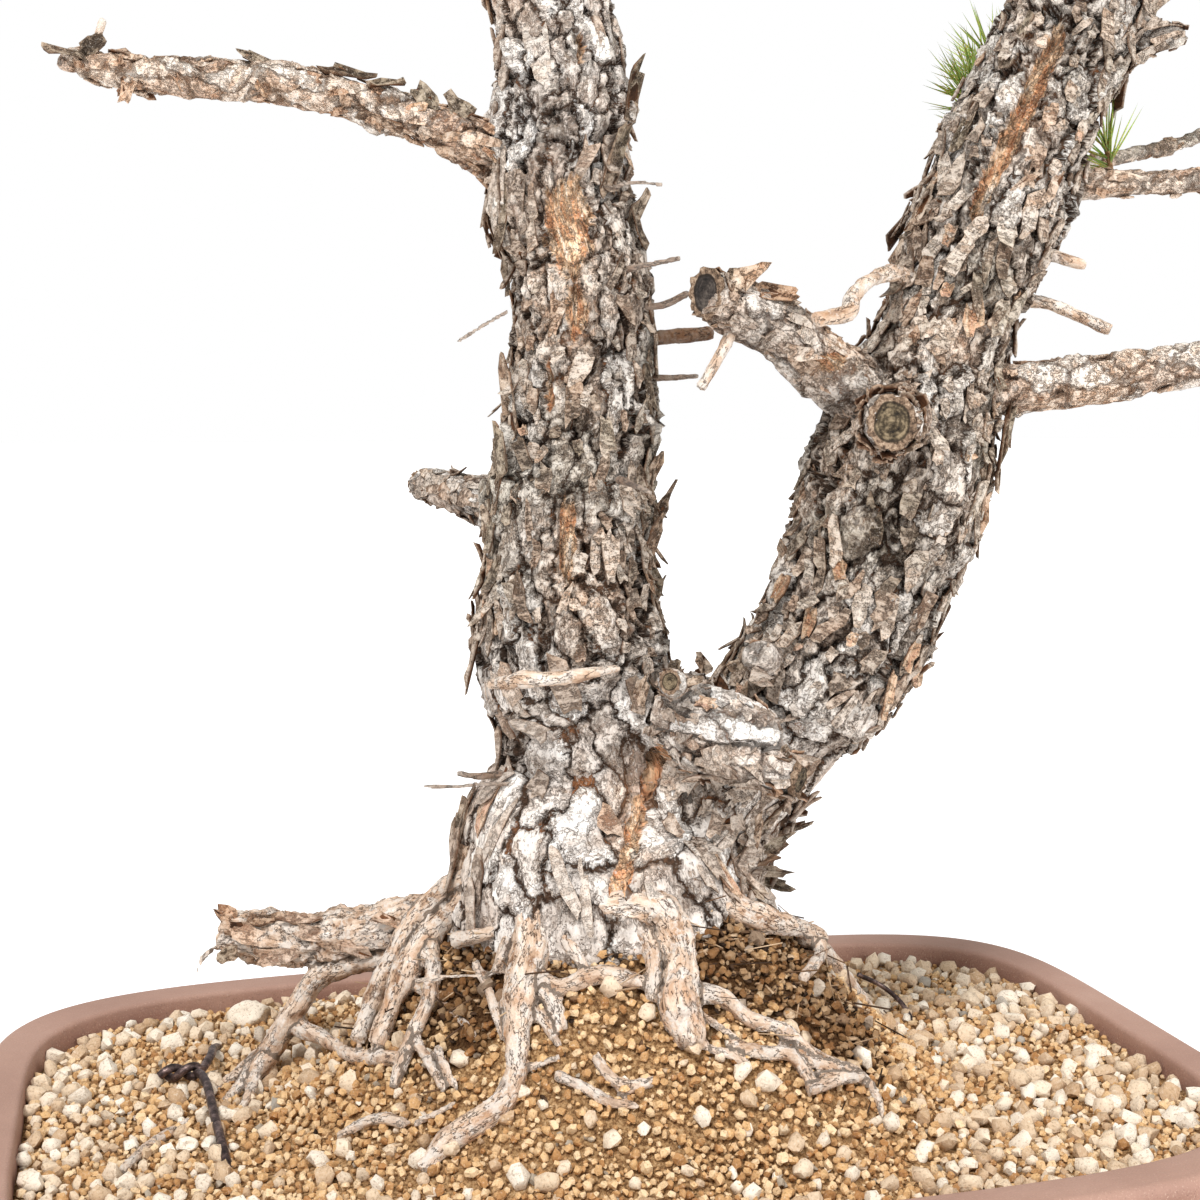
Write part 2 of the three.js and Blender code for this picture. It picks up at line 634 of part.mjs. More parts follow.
const bonsai = new THREE.Group();
bonsai.add(piece("pot", potBody(), CLAY));
for (const [side, x] of [["left", -DRAIN_X], ["right", DRAIN_X]]) {
  bonsai.add(piece(`drain_mesh_${side}`, drainMesh(x), MESH_PLASTIC));
  bonsai.add(piece(`mesh_clip_${side}`, solid(meshClipGeometry(x)), WIRE));
}

const planting = new THREE.Group();
planting.rotation.z = PLANTING_TURN;
bonsai.add(planting);

planting.add(piece("tree", wood(), BARK));

const clearOfBranches = joined([
  ...limbsOf(livingBranches, BRANCH_SIDES, BRANCH_STEP, GAP),
  ...limbsOf(trunks, TRUNK_SIDES, TRUNK_STEP, GAP),
]);
for (const [side, pads] of [["left", leftPads], ["right", rightPads]]) {
  pads.forEach((pad, i) => {
    planting.add(piece(`needle_pad_${side}_${i + 1}`, needlePad(pad, clearOfBranches), NEEDLES));
  });
}

planting.add(piece("tie_wire_left_front", tieWire(frontStrand), WIRE));
planting.add(piece("tie_wire_left_back", tieWire(backStrand), WIRE));
planting.add(piece("tie_wire_right", tieWire(rightStrand), WIRE));

stones.forEach((place, i) => {
  planting.add(piece(`pumice_stone_${i + 1}`, stone(place, i), PUMICE));
});

function inPlantingFrame(geometry) {
  return solid(geometry.rotateZ(-PLANTING_TURN));
}

let soil = solid(soilHeap()).intersect(inPlantingFrame(soilCavity()));
soil = soil.subtract(wood(GAP));
for (const route of [frontStrand, backStrand, rightStrand]) soil = soil.subtract(tieWire(route, GAP));
stones.forEach((place, i) => {
  soil = soil.subtract(stone(place, i, GAP));
});
for (const x of [-DRAIN_X, DRAIN_X]) {
  soil = soil.subtract(inPlantingFrame(screenRecess(x)));
  soil = soil.subtract(inPlantingFrame(meshClipGeometry(x, GAP)));
}
planting.add(piece("soil_bed", soil, SOIL));

export default bonsai;
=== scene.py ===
# %% [markdown]
# # A scots pine bonsai with two trunks
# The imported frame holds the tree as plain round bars, its foliage as smooth clouds and its soil as a
# smooth heap. This lesson gives each of them the surface that the real one has: flaking bark, gnarled
# roots, tufts of needles, loose gravel and fired clay. Everything is in metres, in the pot's frame.

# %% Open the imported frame
import math
import re

import bpy
import numpy as np
from mathutils.bvhtree import BVHTree
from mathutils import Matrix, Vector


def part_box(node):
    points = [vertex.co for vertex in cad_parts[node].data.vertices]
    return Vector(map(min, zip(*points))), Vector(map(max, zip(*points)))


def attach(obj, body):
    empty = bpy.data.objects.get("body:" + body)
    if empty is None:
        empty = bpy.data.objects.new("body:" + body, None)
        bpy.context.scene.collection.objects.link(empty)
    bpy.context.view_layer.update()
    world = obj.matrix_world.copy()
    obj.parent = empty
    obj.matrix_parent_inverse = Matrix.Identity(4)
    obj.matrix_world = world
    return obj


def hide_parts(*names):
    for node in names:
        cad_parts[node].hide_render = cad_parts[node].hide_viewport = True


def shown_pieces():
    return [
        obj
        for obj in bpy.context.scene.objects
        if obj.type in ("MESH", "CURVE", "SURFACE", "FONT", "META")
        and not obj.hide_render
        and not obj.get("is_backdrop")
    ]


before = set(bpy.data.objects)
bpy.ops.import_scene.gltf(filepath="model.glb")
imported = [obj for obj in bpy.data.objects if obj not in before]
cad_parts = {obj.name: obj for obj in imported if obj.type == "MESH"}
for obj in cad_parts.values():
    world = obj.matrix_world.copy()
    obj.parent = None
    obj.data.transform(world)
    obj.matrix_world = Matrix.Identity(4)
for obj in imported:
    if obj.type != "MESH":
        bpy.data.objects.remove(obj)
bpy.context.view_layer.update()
bpy.ops.object.select_all(action="DESELECT")

# %% [markdown]
# The tree was set into its pot at an angle, so its own front is not square to the pot. Every size of
# the tree below is in millimetres in the tree's own frame: X to the right, Y to the back, Z up. One
# helper turns such points into the pot's frame in metres, and one turns them back.

# %% The planting
MM = 0.001
PLANTING_TURN = math.radians(-14.5)
TURN_COS = math.cos(PLANTING_TURN)
TURN_SIN = math.sin(PLANTING_TURN)


def planted(points):
    """Points of the tree's own frame, in millimetres, as metres in the pot's frame."""
    points = np.asarray(points, float) * MM
    x, y, z = points[..., 0], points[..., 1], points[..., 2]
    return np.stack([x * TURN_COS - y * TURN_SIN, x * TURN_SIN + y * TURN_COS, z], axis=-1)


def tree_frame(points):
    """The way back: metres in the pot's frame as millimetres in the tree's own."""
    x, y, z = points[..., 0], points[..., 1], points[..., 2]
    return np.stack([x * TURN_COS + y * TURN_SIN, y * TURN_COS - x * TURN_SIN, z], axis=-1) / MM


def unit(vectors):
    return vectors / np.maximum(np.linalg.norm(vectors, axis=-1, keepdims=True), 1e-9)


def eased(low, high, value):
    """0 below low, 1 above high, and a soft curve between."""
    part = np.clip((value - low) / (high - low), 0, 1)
    return part * part * (3 - 2 * part)


print("planting turned by", round(math.degrees(PLANTING_TURN), 1), "degrees")

# %% [markdown]
# The picture is taken from just in front of the fork, looking slightly down, close enough that the
# crown leaves the top of the frame. The floor and the world are both near white, so they meet without
# a line. One broad lamp from the upper left gives the bark its soft relief, and a weak one from the
# right fills the shadows.

# %% Camera, floor and light
CAMERA_PLACE = (-2.9, -697.4, 362.0)
CAMERA_TILT_DOWN = math.radians(6)
SENSOR_WIDTH, LENS = 36, 54
FLOOR_SIZE = 40

bpy.ops.object.camera_add(
    location=planted(CAMERA_PLACE), rotation=(math.pi / 2 - CAMERA_TILT_DOWN, 0, PLANTING_TURN)
)
camera = bpy.context.object
camera.data.sensor_width = SENSOR_WIDTH
camera.data.lens = LENS
bpy.context.scene.camera = camera
bpy.context.scene.view_settings.view_transform = "Standard"

bpy.ops.mesh.primitive_plane_add(size=FLOOR_SIZE)
floor = bpy.context.object
floor.name = "floor"
floor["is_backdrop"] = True


def lamp(kind, name, place, aim, size, power):
    """A soft lamp that shines at a point. A sun's size is the angle it is seen under."""
    away = np.array(place) - np.array(aim)
    tilt = math.acos(away[2] / np.linalg.norm(away))
    turn = math.atan2(away[1], away[0]) + math.pi / 2
    bpy.ops.object.light_add(type=kind, location=place, rotation=(tilt, 0, turn))
    made = bpy.context.object
    made.name = name
    made.data.energy = power
    setattr(made.data, "angle" if kind == "SUN" else "size", size)


TREE_MIDDLE = (0, 0, 0.32)
lamp("SUN", "broad sky lamp", (-0.9, -1.3, 2.3), TREE_MIDDLE, math.radians(14), 2.5)
lamp("AREA", "fill lamp", (0.9, -1.25, 0.7), TREE_MIDDLE, 0.8, 8)
print("camera at", [round(v, 3) for v in camera.location])

# %% [markdown]
# Materials are built from nodes. A bench holds one node tree: it puts a node down, feeds its sockets
# with numbers or with other nodes, and so keeps each finish a short recipe.

# %% A bench for nodes
class Bench:
    """One node tree, and the way nodes are put on it and fed."""

    def __init__(self, tree):
        self.tree = tree

    def feed(self, socket, value):
        if isinstance(value, bpy.types.NodeSocket):
            self.tree.links.new(value, socket)
        else:
            socket.default_value = value

    def put(self, kind, inputs=None, **settings):
        made = self.tree.nodes.new(kind)
        for name, value in settings.items():
            setattr(made, name, value)
        for name, value in (inputs or {}).items():
            self.feed(made.inputs[name], value)
        return made

    def sum(self, operation, *values, clamp=False):
        inputs = dict(enumerate(values))
        return self.put("ShaderNodeMath", inputs, operation=operation, use_clamp=clamp).outputs[0]

    def vector(self, operation, *values, output=0, **named):
        inputs = {**dict(enumerate(values)), **named}
        return self.put("ShaderNodeVectorMath", inputs, operation=operation).outputs[output]

    def times(self, first, second):
        return self.sum("MULTIPLY", first, second)

    def plus(self, value, share, rest):
        """A value times its share, and the rest."""
        return self.sum("MULTIPLY_ADD", value, share, rest)

    def gap(self, value, middle):
        """How far a value is from a middle one, which turns a soft pattern into thin lines."""
        return self.sum("ABSOLUTE", self.sum("SUBTRACT", value, middle))

    def between(self, share, first, second):
        """A number that goes from first to second."""
        return self.plus(self.sum("SUBTRACT", second, first), share, first)

    def span(self, value, low, high, new_low=0.0, new_high=1.0):
        """A number that goes from new_low to new_high while the value goes from low to high."""
        inputs = {"From Min": low, "From Max": high, "To Min": new_low, "To Max": new_high}
        return self.put("ShaderNodeMapRange", {"Value": value, **inputs}).outputs[0]

    def soft(self, value, *limits):
        """The same with soft ends."""
        made = self.span(value, *limits)
        made.node.interpolation_type = "SMOOTHSTEP"
        return made

    def noise(self, where, scale, detail=3.0, roughness=0.55, output="Fac"):
        inputs = {"Vector": where, "Scale": scale, "Detail": detail, "Roughness": roughness}
        return self.put("ShaderNodeTexNoise", inputs).outputs[output]

    def stretched(self, where, share):
        """A place squeezed along the grain, so that a pattern on it is drawn out lengthwise."""
        return self.vector("MULTIPLY", where, (1, 1, share))

    def ramp(self, value, *stops):
        """Colours by a value. A stop is its place and a colour in 0 to 255."""
        made = self.put("ShaderNodeValToRGB", {"Fac": value})
        line = made.color_ramp.elements
        while len(line) < len(stops):
            line.new(0.5)
        for stop, (place, *colour) in zip(line, stops):
            stop.position = place
            stop.color = paint(*colour)
        return made.outputs["Color"]

    def blend(self, share, first, second, kind="MIX"):
        made = self.put("ShaderNodeMix", data_type="RGBA", blend_type=kind)
        for socket, value in ((0, share), (6, first), (7, second)):
            self.feed(made.inputs[socket], value)
        return made.outputs[2]

    def attribute(self, name, output="Fac"):
        return self.put("ShaderNodeAttribute", attribute_name=name).outputs[output]

    def object_place(self):
        return self.put("ShaderNodeTexCoord").outputs["Object"]

    def parts(self, vector):
        return self.put("ShaderNodeSeparateXYZ", {0: vector}).outputs


def paint(red, green, blue):
    """A colour given as 0 to 255, as the linear numbers that shaders use."""
    linear = [((c / 255 + 0.055) / 1.055) ** 2.4 for c in (red, green, blue)]
    return (*linear, 1.0)


SOCKETS = {"vector": "NodeSocketVector", "number": "NodeSocketFloat", "colour": "NodeSocketColor"}


def effect(name, inputs, outputs):
    """A shader node group with named inputs and outputs. Returns its bench, start and end."""
    tree = bpy.data.node_groups.new(name, "ShaderNodeTree")
    for label, kind in inputs.items():
        tree.interface.new_socket(label, in_out="INPUT", socket_type=SOCKETS[kind])
    for label, kind in outputs.items():
        tree.interface.new_socket(label, in_out="OUTPUT", socket_type=SOCKETS[kind])
    bench = Bench(tree)
    return bench, bench.put("NodeGroupInput").outputs, bench.put("NodeGroupOutput")


def finish_for(name, roughness=0.85, specular=0.3):
    """A new material. Returns it with its bench and its shader."""
    material = bpy.data.materials.new(name)
    material.use_nodes = True
    bench = Bench(material.node_tree)
    shader = material.node_tree.nodes["Principled BSDF"]
    shader.inputs["Roughness"].default_value = roughness
    shader.inputs["Specular IOR Level"].default_value = specular
    return material, bench, shader


def dress(bench, shader, colour, height, distance):
    """Gives a shader its colour, and lets a height pattern roughen its surface."""
    bench.feed(shader.inputs["Base Color"], colour)
    bump = bench.put("ShaderNodeBump", {"Height": height, "Distance": distance})
    bench.feed(shader.inputs["Normal"], bump.outputs["Normal"])


print("bench ready")

# %% [markdown]
# The floor is white paper, which glows a little so that it doesn't look grey away from the lamps. The
# air is pure white to the camera, but lights the tree with less, so that the bark keeps its contrast.

# %% White floor and air
AMBIENT = 0.6

floor_white, bench, shader = finish_for("white studio floor", 0.9, 0.1)
shader.inputs["Base Color"].default_value = (0.93, 0.93, 0.93, 1)
shader.inputs["Emission Color"].default_value = (1, 1, 1, 1)
shader.inputs["Emission Strength"].default_value = 0.35
floor.data.materials.append(floor_white)

air = bpy.data.worlds.new("white air")
air.use_nodes = True
bpy.context.scene.world = air
bench = Bench(air.node_tree)
seen = bench.put("ShaderNodeLightPath").outputs["Is Camera Ray"]
background = air.node_tree.nodes["Background"].inputs
background["Color"].default_value = (1, 1, 1, 1)
bench.feed(background["Strength"], bench.plus(seen, 1.0 - AMBIENT, AMBIENT))
print("ambient light", AMBIENT)

# %% [markdown]
# Wood grows as tapering limbs. Each limb is a short list of points down its middle, written as x, y, z
# and the radius there, from the limb's root to its end, on the same routes that the frame was built
# from. Jins are the stripped dead shoots, and stubs are where a branch was sawn off.

# %% Routes of the trunks and branches
def routes(text):
    """Reads limbs from text: a name and a colon, then the limb's points with commas between them."""
    words = re.split(r"(\w+):", text)[1:]
    return {
        name: [[float(number) for number in point.split()] for point in points.split(",")]
        for name, points in zip(words[::2], words[1::2])
    }


trunks = routes("""
    left_trunk: -1 15 125 60, -1 15 157 65, -4 14 178 61, -7 14 198 53, -5 14 222 40, -9 15 247 36,
        -15 15 271 37, -16 16 319 32, -10 17 366 28, -12 18 417 25, -19 19 444 27, -19 20 498 24,
        -26 22 530 22, -30 25 580 19, -18 20 640 16, -2 15 690 12, 8 12 740 8, 4 10 785 5, 0 10 814 3
    right_trunk: 24 14 150 35, 33 14 171 31, 38 12 195 29, 51 10 217 28, 72 6 246 30, 91 3 273 32,
        109.5 0 328 33.5, 118 3 358 31, 130 6 392 25, 147 12 437 27.5, 169 17 489 26, 187 18 525 24,
        212 20 570 20, 225 15 620 15, 245 12 665 10, 250 10 705 6, 252 10 734 3
    fork: 18 14 200 36, 33 12 234 28, 37 12 256 15
""")

stubs = routes("""
    left_back_stub: -28 28 320 11, -44 45 323 9.5, -60 60 327 8.4, -80 76 331 5.6
    rising_stub: 118 4 350 12, 110 0 360 12, 97 -12 368 11.5, 79 -22 380 10.4, 63 -30 392 10,
        50 -36 399 9.6, 36 -42 404 8.6
    front_stub: 113 0 360 16, 107 -24 359 13, 102 -45 358 10.8, 98 -73 358 9
    base_stub: 24 -10 237 12, 38 -26 237 11.4, 56 -38 232 9.2, 69 -46 228 7.2
    base_bulge: 28 -14 247 12, 35 -24 246 11.4, 49 -34 245 9.7, 62 -38 241 7.4
    round_stub: 26 -12 256 5, 26 -22 258 4.9, 23 -45 263 4.6
    side_knot: 62 -8 266 7, 59 -22 268 6.5, 55 -36 273 4.8
    top_right_stub: 178 16 513 9, 191 14 510 8.8, 203 8 505 7.2, 217 -2 502 3.4
""")

dead_branches = routes("""
    dead_branch: -18 19 450 12, -34 18 457 12, -53 12 466 9.6, -72 8 472 8, -117 3 485 7.2,
        -166 2 488 6.8, -189 3 491 6.6, -202 4 494 5, -209 5 493 2
""")

living_branches = routes("""
    left_1: -25 22 560 9, -80 9 586 7.5, -140 -5 590 6, -190 -12 602 3.5
    left_2: -16 18 648 7, 20 -18 656 6, 45 -45 655 4.8, 66 -60 662 3
    left_3: -27 24 600 8, -60 70 625 6.5, -84 104 632 5, -96 126 642 3.2
    left_4: -7 17 674 6.5, 30 50 687 5.5, 58 78 693 4.2, 76 92 701 2.8
    left_5: -12 18 662 6.5, -52 -14 681 5.5, -88 -42 688 4.2, -112 -56 698 2.8
    left_6: 5 13 718 4.5, 30 5 729 3.6, 54 -4 738 2.4
    left_7: 7 12 746 4, -20 19 757 3.4, -48 23 769 2.4
    left_9: -26 25 556 8, -15 80 576 6.5, -5 120 585 5, 0 146 594 3.2
    right_1: 124 2 367 12, 136 0 369 11.5, 173 -3 372 8.8, 226 -5 380 7.6, 270 -6 388 6.4,
        320 -10 400 4.8, 358 -14 408 3
    right_2: 160 15 452 8, 184 15 450 5.8, 230 15 451 5, 270 18 460 4.2, 308 22 473 3
    right_3: 166 22 456 3.6, 189 35 460 3, 227 58 469 2.7, 262 76 482 2.6, 294 90 499 2.2
    right_4: 160 20 458 6, 160 54 482 5, 168 82 498 3.8, 174 98 504 2.6
    right_5: 208 20 566 7, 166 5 591 5.6, 140 -6 600 4.2, 118 -10 607 2.8
    right_6: 222 17 608 7, 270 8 621 5.4, 300 2 626 4.2, 330 0 632 2.8
    right_7: 223 16 616 6.5, 226 60 636 5, 228 84 643 4, 230 106 652 2.8
    right_8: 232 14 640 6, 222 -30 656 4.6, 217 -52 660 3.8, 214 -70 667 2.6
""")

jins = routes("""
    branch_end_spur: -197 3 488 2.4, -196 3 494 2.3, -193 2 502 1.9, -190 0 509 1.8
    hooked_jin: 118 10 408 4.2, 111 -8 413 3.6, 103 -22 412.5 3.2, 94 -35 408.5 2.9, 87 -48 402.5 2.9,
        84.5 -56 396.5 2.8, 72 -62 393.5 2.6
    hanging_jin: 48 -34 396 2.6, 45 -38 391 2.4, 40 -42 381 2.2, 33 -46 370 2.2
    upper_right_jin: 146 8 425 3.4, 155 5 424 3.1, 167 2 422 2.7, 182 -3 417 2.3
    lower_right_jin: 145 9 403 3.3, 154 8 403 3.1, 168 8 404 2.5, 194 4 393 2.3
    knobbly_twig: -44 -36 261 2.2, -37 -44 263 2.5, -31 -49 265 2.9, -23 -51 265 2.5, -15 -51 266 2.8,
        -6 -48 267 2.2, 4 -42 268 1.6
""")

twigs = routes("""
    crossing_twig: 6 24 388 3.2, 13 30 390 2.8, 26 42 392 2.7, 43 55 394 2.8
    thin_twig_1: 2 2 447 1.3, 7 0 448 1.1, 14 -2 448 0.9, 21 -4 447 0.8
    thin_twig_2: 2 2 414 1.7, 9 0 416 1.5, 18 0 418 1.3, 28 0 420 1.3
    thin_twig_3: 4 8 401 1.8, 13 10 402 1.7, 22 12 403 1.6, 32 14 408 1.6
    thin_twig_4: 4 14 374 1.8, 13 20 375 1.6, 24 26 375 1.4, 37 32 376 1
    thin_twig_5: 4 -12 336 1.6, 8 -20 335 1.5, 16 -36 332 1.1
    thin_twig_6: -38 0 400 1, -48 -4 394 0.8, -57 -8 388 0.7
    thin_twig_7: -30 -10 218 1.3, -47 -15 219 1, -58 -20 219 0.9, -70 -24 220 0.8
    thin_twig_8: -40 -6 221 1.8, -50 -10 221 1.6, -58 -14 223 1.2
""")
above_soil = (trunks, stubs, dead_branches, living_branches, jins, twigs)
print("limbs above the soil:", sum(len(family) for family in above_soil))

# %% [markdown]
# The roots were once under the soil and are now bare. They start inside the flare of the base, run
# down the mound and go into the gravel. The frame holds the thick ones, and the rootlets that are as
# thin as string are added here, because only the eye needs them.

# %% Routes of the roots
roots = routes("""
    front: -24 -12 204 3, -27 -22 190 6, -28 -32 176 7.6, -29 -43 162 6.8, -32 -54 148 5.8,
        -34 -74 124 4.8, -42 -81 114 4.8, -56 -84 106 4.4, -66 -90 97 3
    left_upper: -26 -2 188 7.5, -46 -5 177 6.2, -61 1 166 5.8, -71 -6 155 5.5, -79 -17 144 4.9,
        -84 -27 132 3.8, -88 -34 122 3
    left_lower: -42 4 184 6.5, -54 0 179 6, -65 3 172 5, -77 0 159 5, -84 -5 146 4.8, -91 -10 134 4.3,
        -96 -28 122 3.2
    far_left: -70 8 149 5.6, -83 8 145 5.2, -106 14 138 4.8, -118 15 133 4.8, -128 15 118 4.8,
        -137 18 103 4.6, -144 17 95 4.6
    far_left_finger_back: -138 18 100 4.4, -143 24 97 3.7, -150 12 94 2.6, -158 0 91 1.8
    far_left_finger_middle: -138 18 100 4.2, -143 15 96 3.7, -146 1 94 2.8, -151 -16 91 1.9
    far_left_finger_front: -138 18 99 4.2, -142 8 96 3.4, -141 -6 95 2.6, -142 -24 92 1.8
    raised_log: -50 8 166 10, -67 6 162 9.6, -103 16 151 10, -125 22 147 11.2, -143 26 147 11.6,
        -152 27 148 11.4, -158 28 149 10
    low_left: -128 16 112 4, -110 -3 112 2.9, -98 -24 114 2.9, -77 -48 122 3
    fork_left: -71 -6 154 4, -67 -24 147 3.4, -69 -40 138 2.8, -72 -44 132 2.8, -79 -57 114 2
    front_right: -12 -28 180 4, -4 -35 176 7, 8 -37 177 8.6, 20 -39 174 8.6, 26 -46 163 7.6,
        27 -53 154 7.6, 26 -61 146 8, 31 -68 134 5
    right_long: 24 -52 154 4.5, 32 -55 150 3.9, 43 -54 147 3.4, 52 -57 140 3, 65 -54 135 2.9,
        76 -55 126 2.7, 92 -49 118 2.2
    right_back: 40 -22 178 6.4, 53 -22 171 5.7, 65 -18 165 4.6, 76 -8 160 4.2, 85 2 153 4
    right_tail: 77 -6 156 3.8, 85 6 148 3.4, 98 24 130 3, 114 46 107 2.6, 128 66 93 2.2
    back_left: -36 38 190 10, -52 50 158 8.5, -66 62 130 7, -84 76 106 6, -98 88 94 4, -108 98 88 3
    back_middle: 2 46 190 10, 4 60 163 9, 6 78 139 7, 2 94 119 5.5, 10 110 102 4.4, 8 122 91 3
    back_right: 42 34 186 10, 60 52 149 8, 76 64 125 6.4, 90 76 106 5, 104 88 93 3.6, 114 97 88 3
""")

rootlets = routes("""
    rootlet_1: -50 -36 155 2.1, -44 -48 147 2, -38 -63 135 1.6
    rootlet_2: -34 -29 172 2.9, -38 -38 161 2.8, -42 -44 153 2.2
    rootlet_3: -69 -40 138 2.4, -72 -44 132 2.8, -76 -50 124 2.6, -79 -57 116 1.8
    rootlet_4: -71 -48 129 1.9, -66 -58 124 1.7, -59 -69 117 1.3
    rootlet_5: -63 -54 129 1.7, -59 -63 124 1.5, -54 -70 118 1.1
    rootlet_6: -22 -31 176 3, -17 -40 169 2.6, -13 -46 163 2.6, -8 -52 157 2
    rootlet_7: -27 -49 155 2.8, -20 -58 147 2.7, -16 -65 139 2
    rootlet_8: -28 -56 147 2, -22 -64 139 1.8, -17 -69 134 1.4
    rootlet_9: -31 -48 156 3.4, -18 -55 151 3, -9 -54 155 3.3, 1 -54 156 3.3, 12 -55 153 2.6
    rootlet_10: -72 -50 152 1.1, -60 -51 154 1, -46 -50 154 0.9
    rootlet_11: 6 -34 174 5, 12 -41 171 4.5, 16 -46 165 3.7, 17 -53 156 3.3, 16 -60 148 2.9
    rootlet_12: 44 -64 133 2.8, 57 -64 130 2.6, 67 -61 128 2.6, 73 -64 120 2.2
    rootlet_13: 62 -58 130 2.6, 76 -58 124 2.4, 88 -53 119 2.3, 99 -51 112 1.9
    rootlet_14: 72 -68 117 2.2, 84 -59 118 2.4, 96 -51 116 1.9
    rootlet_15: 33 -67 134 1.6, 46 -68 130 1.8, 51 -70 125 1.4
    rootlet_16: 30 -60 145 2, 40 -61 139 1.6, 49 -63 133 1.3
    rootlet_17: 83 0 154 3.6, 84 -8 150 2.9, 79 -20 148 2.6, 74 -30 146 2.2
    rootlet_18: -174 -81 92 1.6, -170 -59 92 2, -165 -46 92 2.1, -160 -33 92 1.7
    rootlet_19: -199 -10 92 1.2, -189 -20 92 1.4, -180 -33 92 1
    rootlet_20: -99 -66 99 1.6, -85 -66 106 2.4, -73 -73 107 2.2
    rootlet_21: -70 -74 107 1.4, -62 -74 111 1.4, -54 -73 115 1.1
    rootlet_22: -5 -72 132 2, 1 -78 126 2.1, 8 -79 123 2.3, 18 -77 125 1.6
    rootlet_23: -19 -75 126 2, -9 -79 123 2.1, 1 -83 119 2.1, 11 -84 118 1.4
    rootlet_24: -28 -72 127 1.6, -23 -71 129 1.6, -17 -71 131 1.3
    rootlet_25: -156 27 146 2, -160 26 143 1.6, -166 22 139 1.2, -168 20 133 0.9
    rootlet_26: -59 -24 160 3, -50 -29 163 2.8, -40 -30 166 2.4
    rootlet_27: -84 -5 146 2.4, -72 -22 140 2.2, -58 -40 137 2, -49 -56 133 1.6
    rootlet_28: 92 -49 118 2, 99 -53 111 1.7, 101 -60 103 1.3
""")
print("roots", len(roots), "rootlets", len(rootlets))

# %% [markdown]
# A limb is kept as rows down its middle, about four millimetres apart: its place, its radius, how far
# along it is, and three directions, one forward and two across. With those, a place on its skin is two
# numbers, how far along and how far round, and bark can be laid out as if the limb were straight.

# %% Limbs
ROW_STEP = 4.0
THINNEST_LIMB = 0.5


def drawn_through(route, step):
    """A smooth line through the route's points, in rows about a step apart."""
    route = np.array(route, float)
    line = np.vstack([2 * route[0] - route[1], route, 2 * route[-1] - route[-2]])
    rows = []
    for a, b, c, d in zip(line, line[1:], line[2:], line[3:]):
        count = max(1, round(np.linalg.norm((c - b)[:3]) / step))
        for t in np.arange(count) / count:
            bend = (2 * a - 5 * b + 4 * c - d) * t**2 + (3 * b - a - 3 * c + d) * t**3
            rows.append(b + ((c - a) * t + bend) / 2)
    rows.append(route[-1])
    return np.array(rows)


def plate_size(kind, height):
    """How large the bark's plates are. They are largest at the foot of the trunks."""
    if kind == "trunk":
        return 2.1 - 1.1 * eased(205, 285, height)
    return np.full(len(height), 1.1 if kind == "stub" else 0.85)


class Limb:
    """A round stretch of wood, with what is needed to lay bark on it."""

    def __init__(self, name, route, kind, order):
        rows = drawn_through(route, ROW_STEP)
        self.name = name
        self.kind = kind
        self.place = planted(rows[:, :3])
        self.radius = np.maximum(rows[:, 3], THINNEST_LIMB) * MM
        lengths = np.linalg.norm(np.diff(self.place, axis=0), axis=1)
        self.along = np.concatenate([[0], np.cumsum(lengths)])
        self.size = plate_size(kind, rows[:, 2])
        steps = lengths * 2 / (self.size[1:] + self.size[:-1])
        self.pattern_along = np.concatenate([[0], np.cumsum(steps)]) + 0.37 * order
        self.forward = unit(np.gradient(self.place, axis=0))
        start = np.cross((0, 1, 0), self.forward[0])
        if np.linalg.norm(start) < 0.2:
            start = np.cross((0, 0, 1), self.forward[0])
        across = [unit(start)]
        for forward in self.forward[1:]:
            across.append(unit(across[-1] - forward * across[-1].dot(forward)))
        self.side = np.array(across)
        self.back = np.cross(self.forward, self.side)

    def surface(self, along, turn, lift):
        """Points of the skin at distances along and angles round, lifted above it."""
        last = len(self.along) - 1
        row = np.interp(along, self.along, np.arange(last + 1))
        low = np.minimum(row.astype(int), last - 1)
        part = (row - low)[..., None]

        def between(rows):
            return rows[low] * (1 - part) + rows[low + 1] * part

        past = along - np.clip(along, 0, self.along[-1])
        middle = between(self.place) + between(self.forward) * past[..., None]
        cos, sin = np.cos(turn)[..., None], np.sin(turn)[..., None]
        out = between(self.side) * cos + between(self.back) * sin
        radius = between(self.radius[:, None])
        return middle + unit(out) * (radius + lift[..., None])


def limbs_of(family, kind):
    return [Limb(name, route, kind, i) for i, (name, route) in enumerate(family.items(), 1)]


wood_limbs = limbs_of(trunks, "trunk") + limbs_of(stubs, "stub")
wood_limbs += limbs_of(dead_branches, "dead") + limbs_of(living_branches, "branch")
jin_limbs = limbs_of(jins, "jin") + limbs_of(twigs, "twig")
root_limbs = limbs_of(roots, "root") + limbs_of(rootlets, "rootlet")
print("rows of wood", sum(len(limb.along) for limb in wood_limbs + jin_limbs + root_limbs))

# %% [markdown]
# To paint and carve the finished wood, each corner of its mesh has to know its limb: how far along and
# how far to the side it lies. That could be stored while a limb is drawn, but melting the limbs into
# one skin loses it, so it is looked up afterwards. The nearest row gives the limb, and the stretch to
# the row before or after it gives the exact place.

# %% Finding the nearest limb
FAR = 9.0
AT_ONCE = 8000


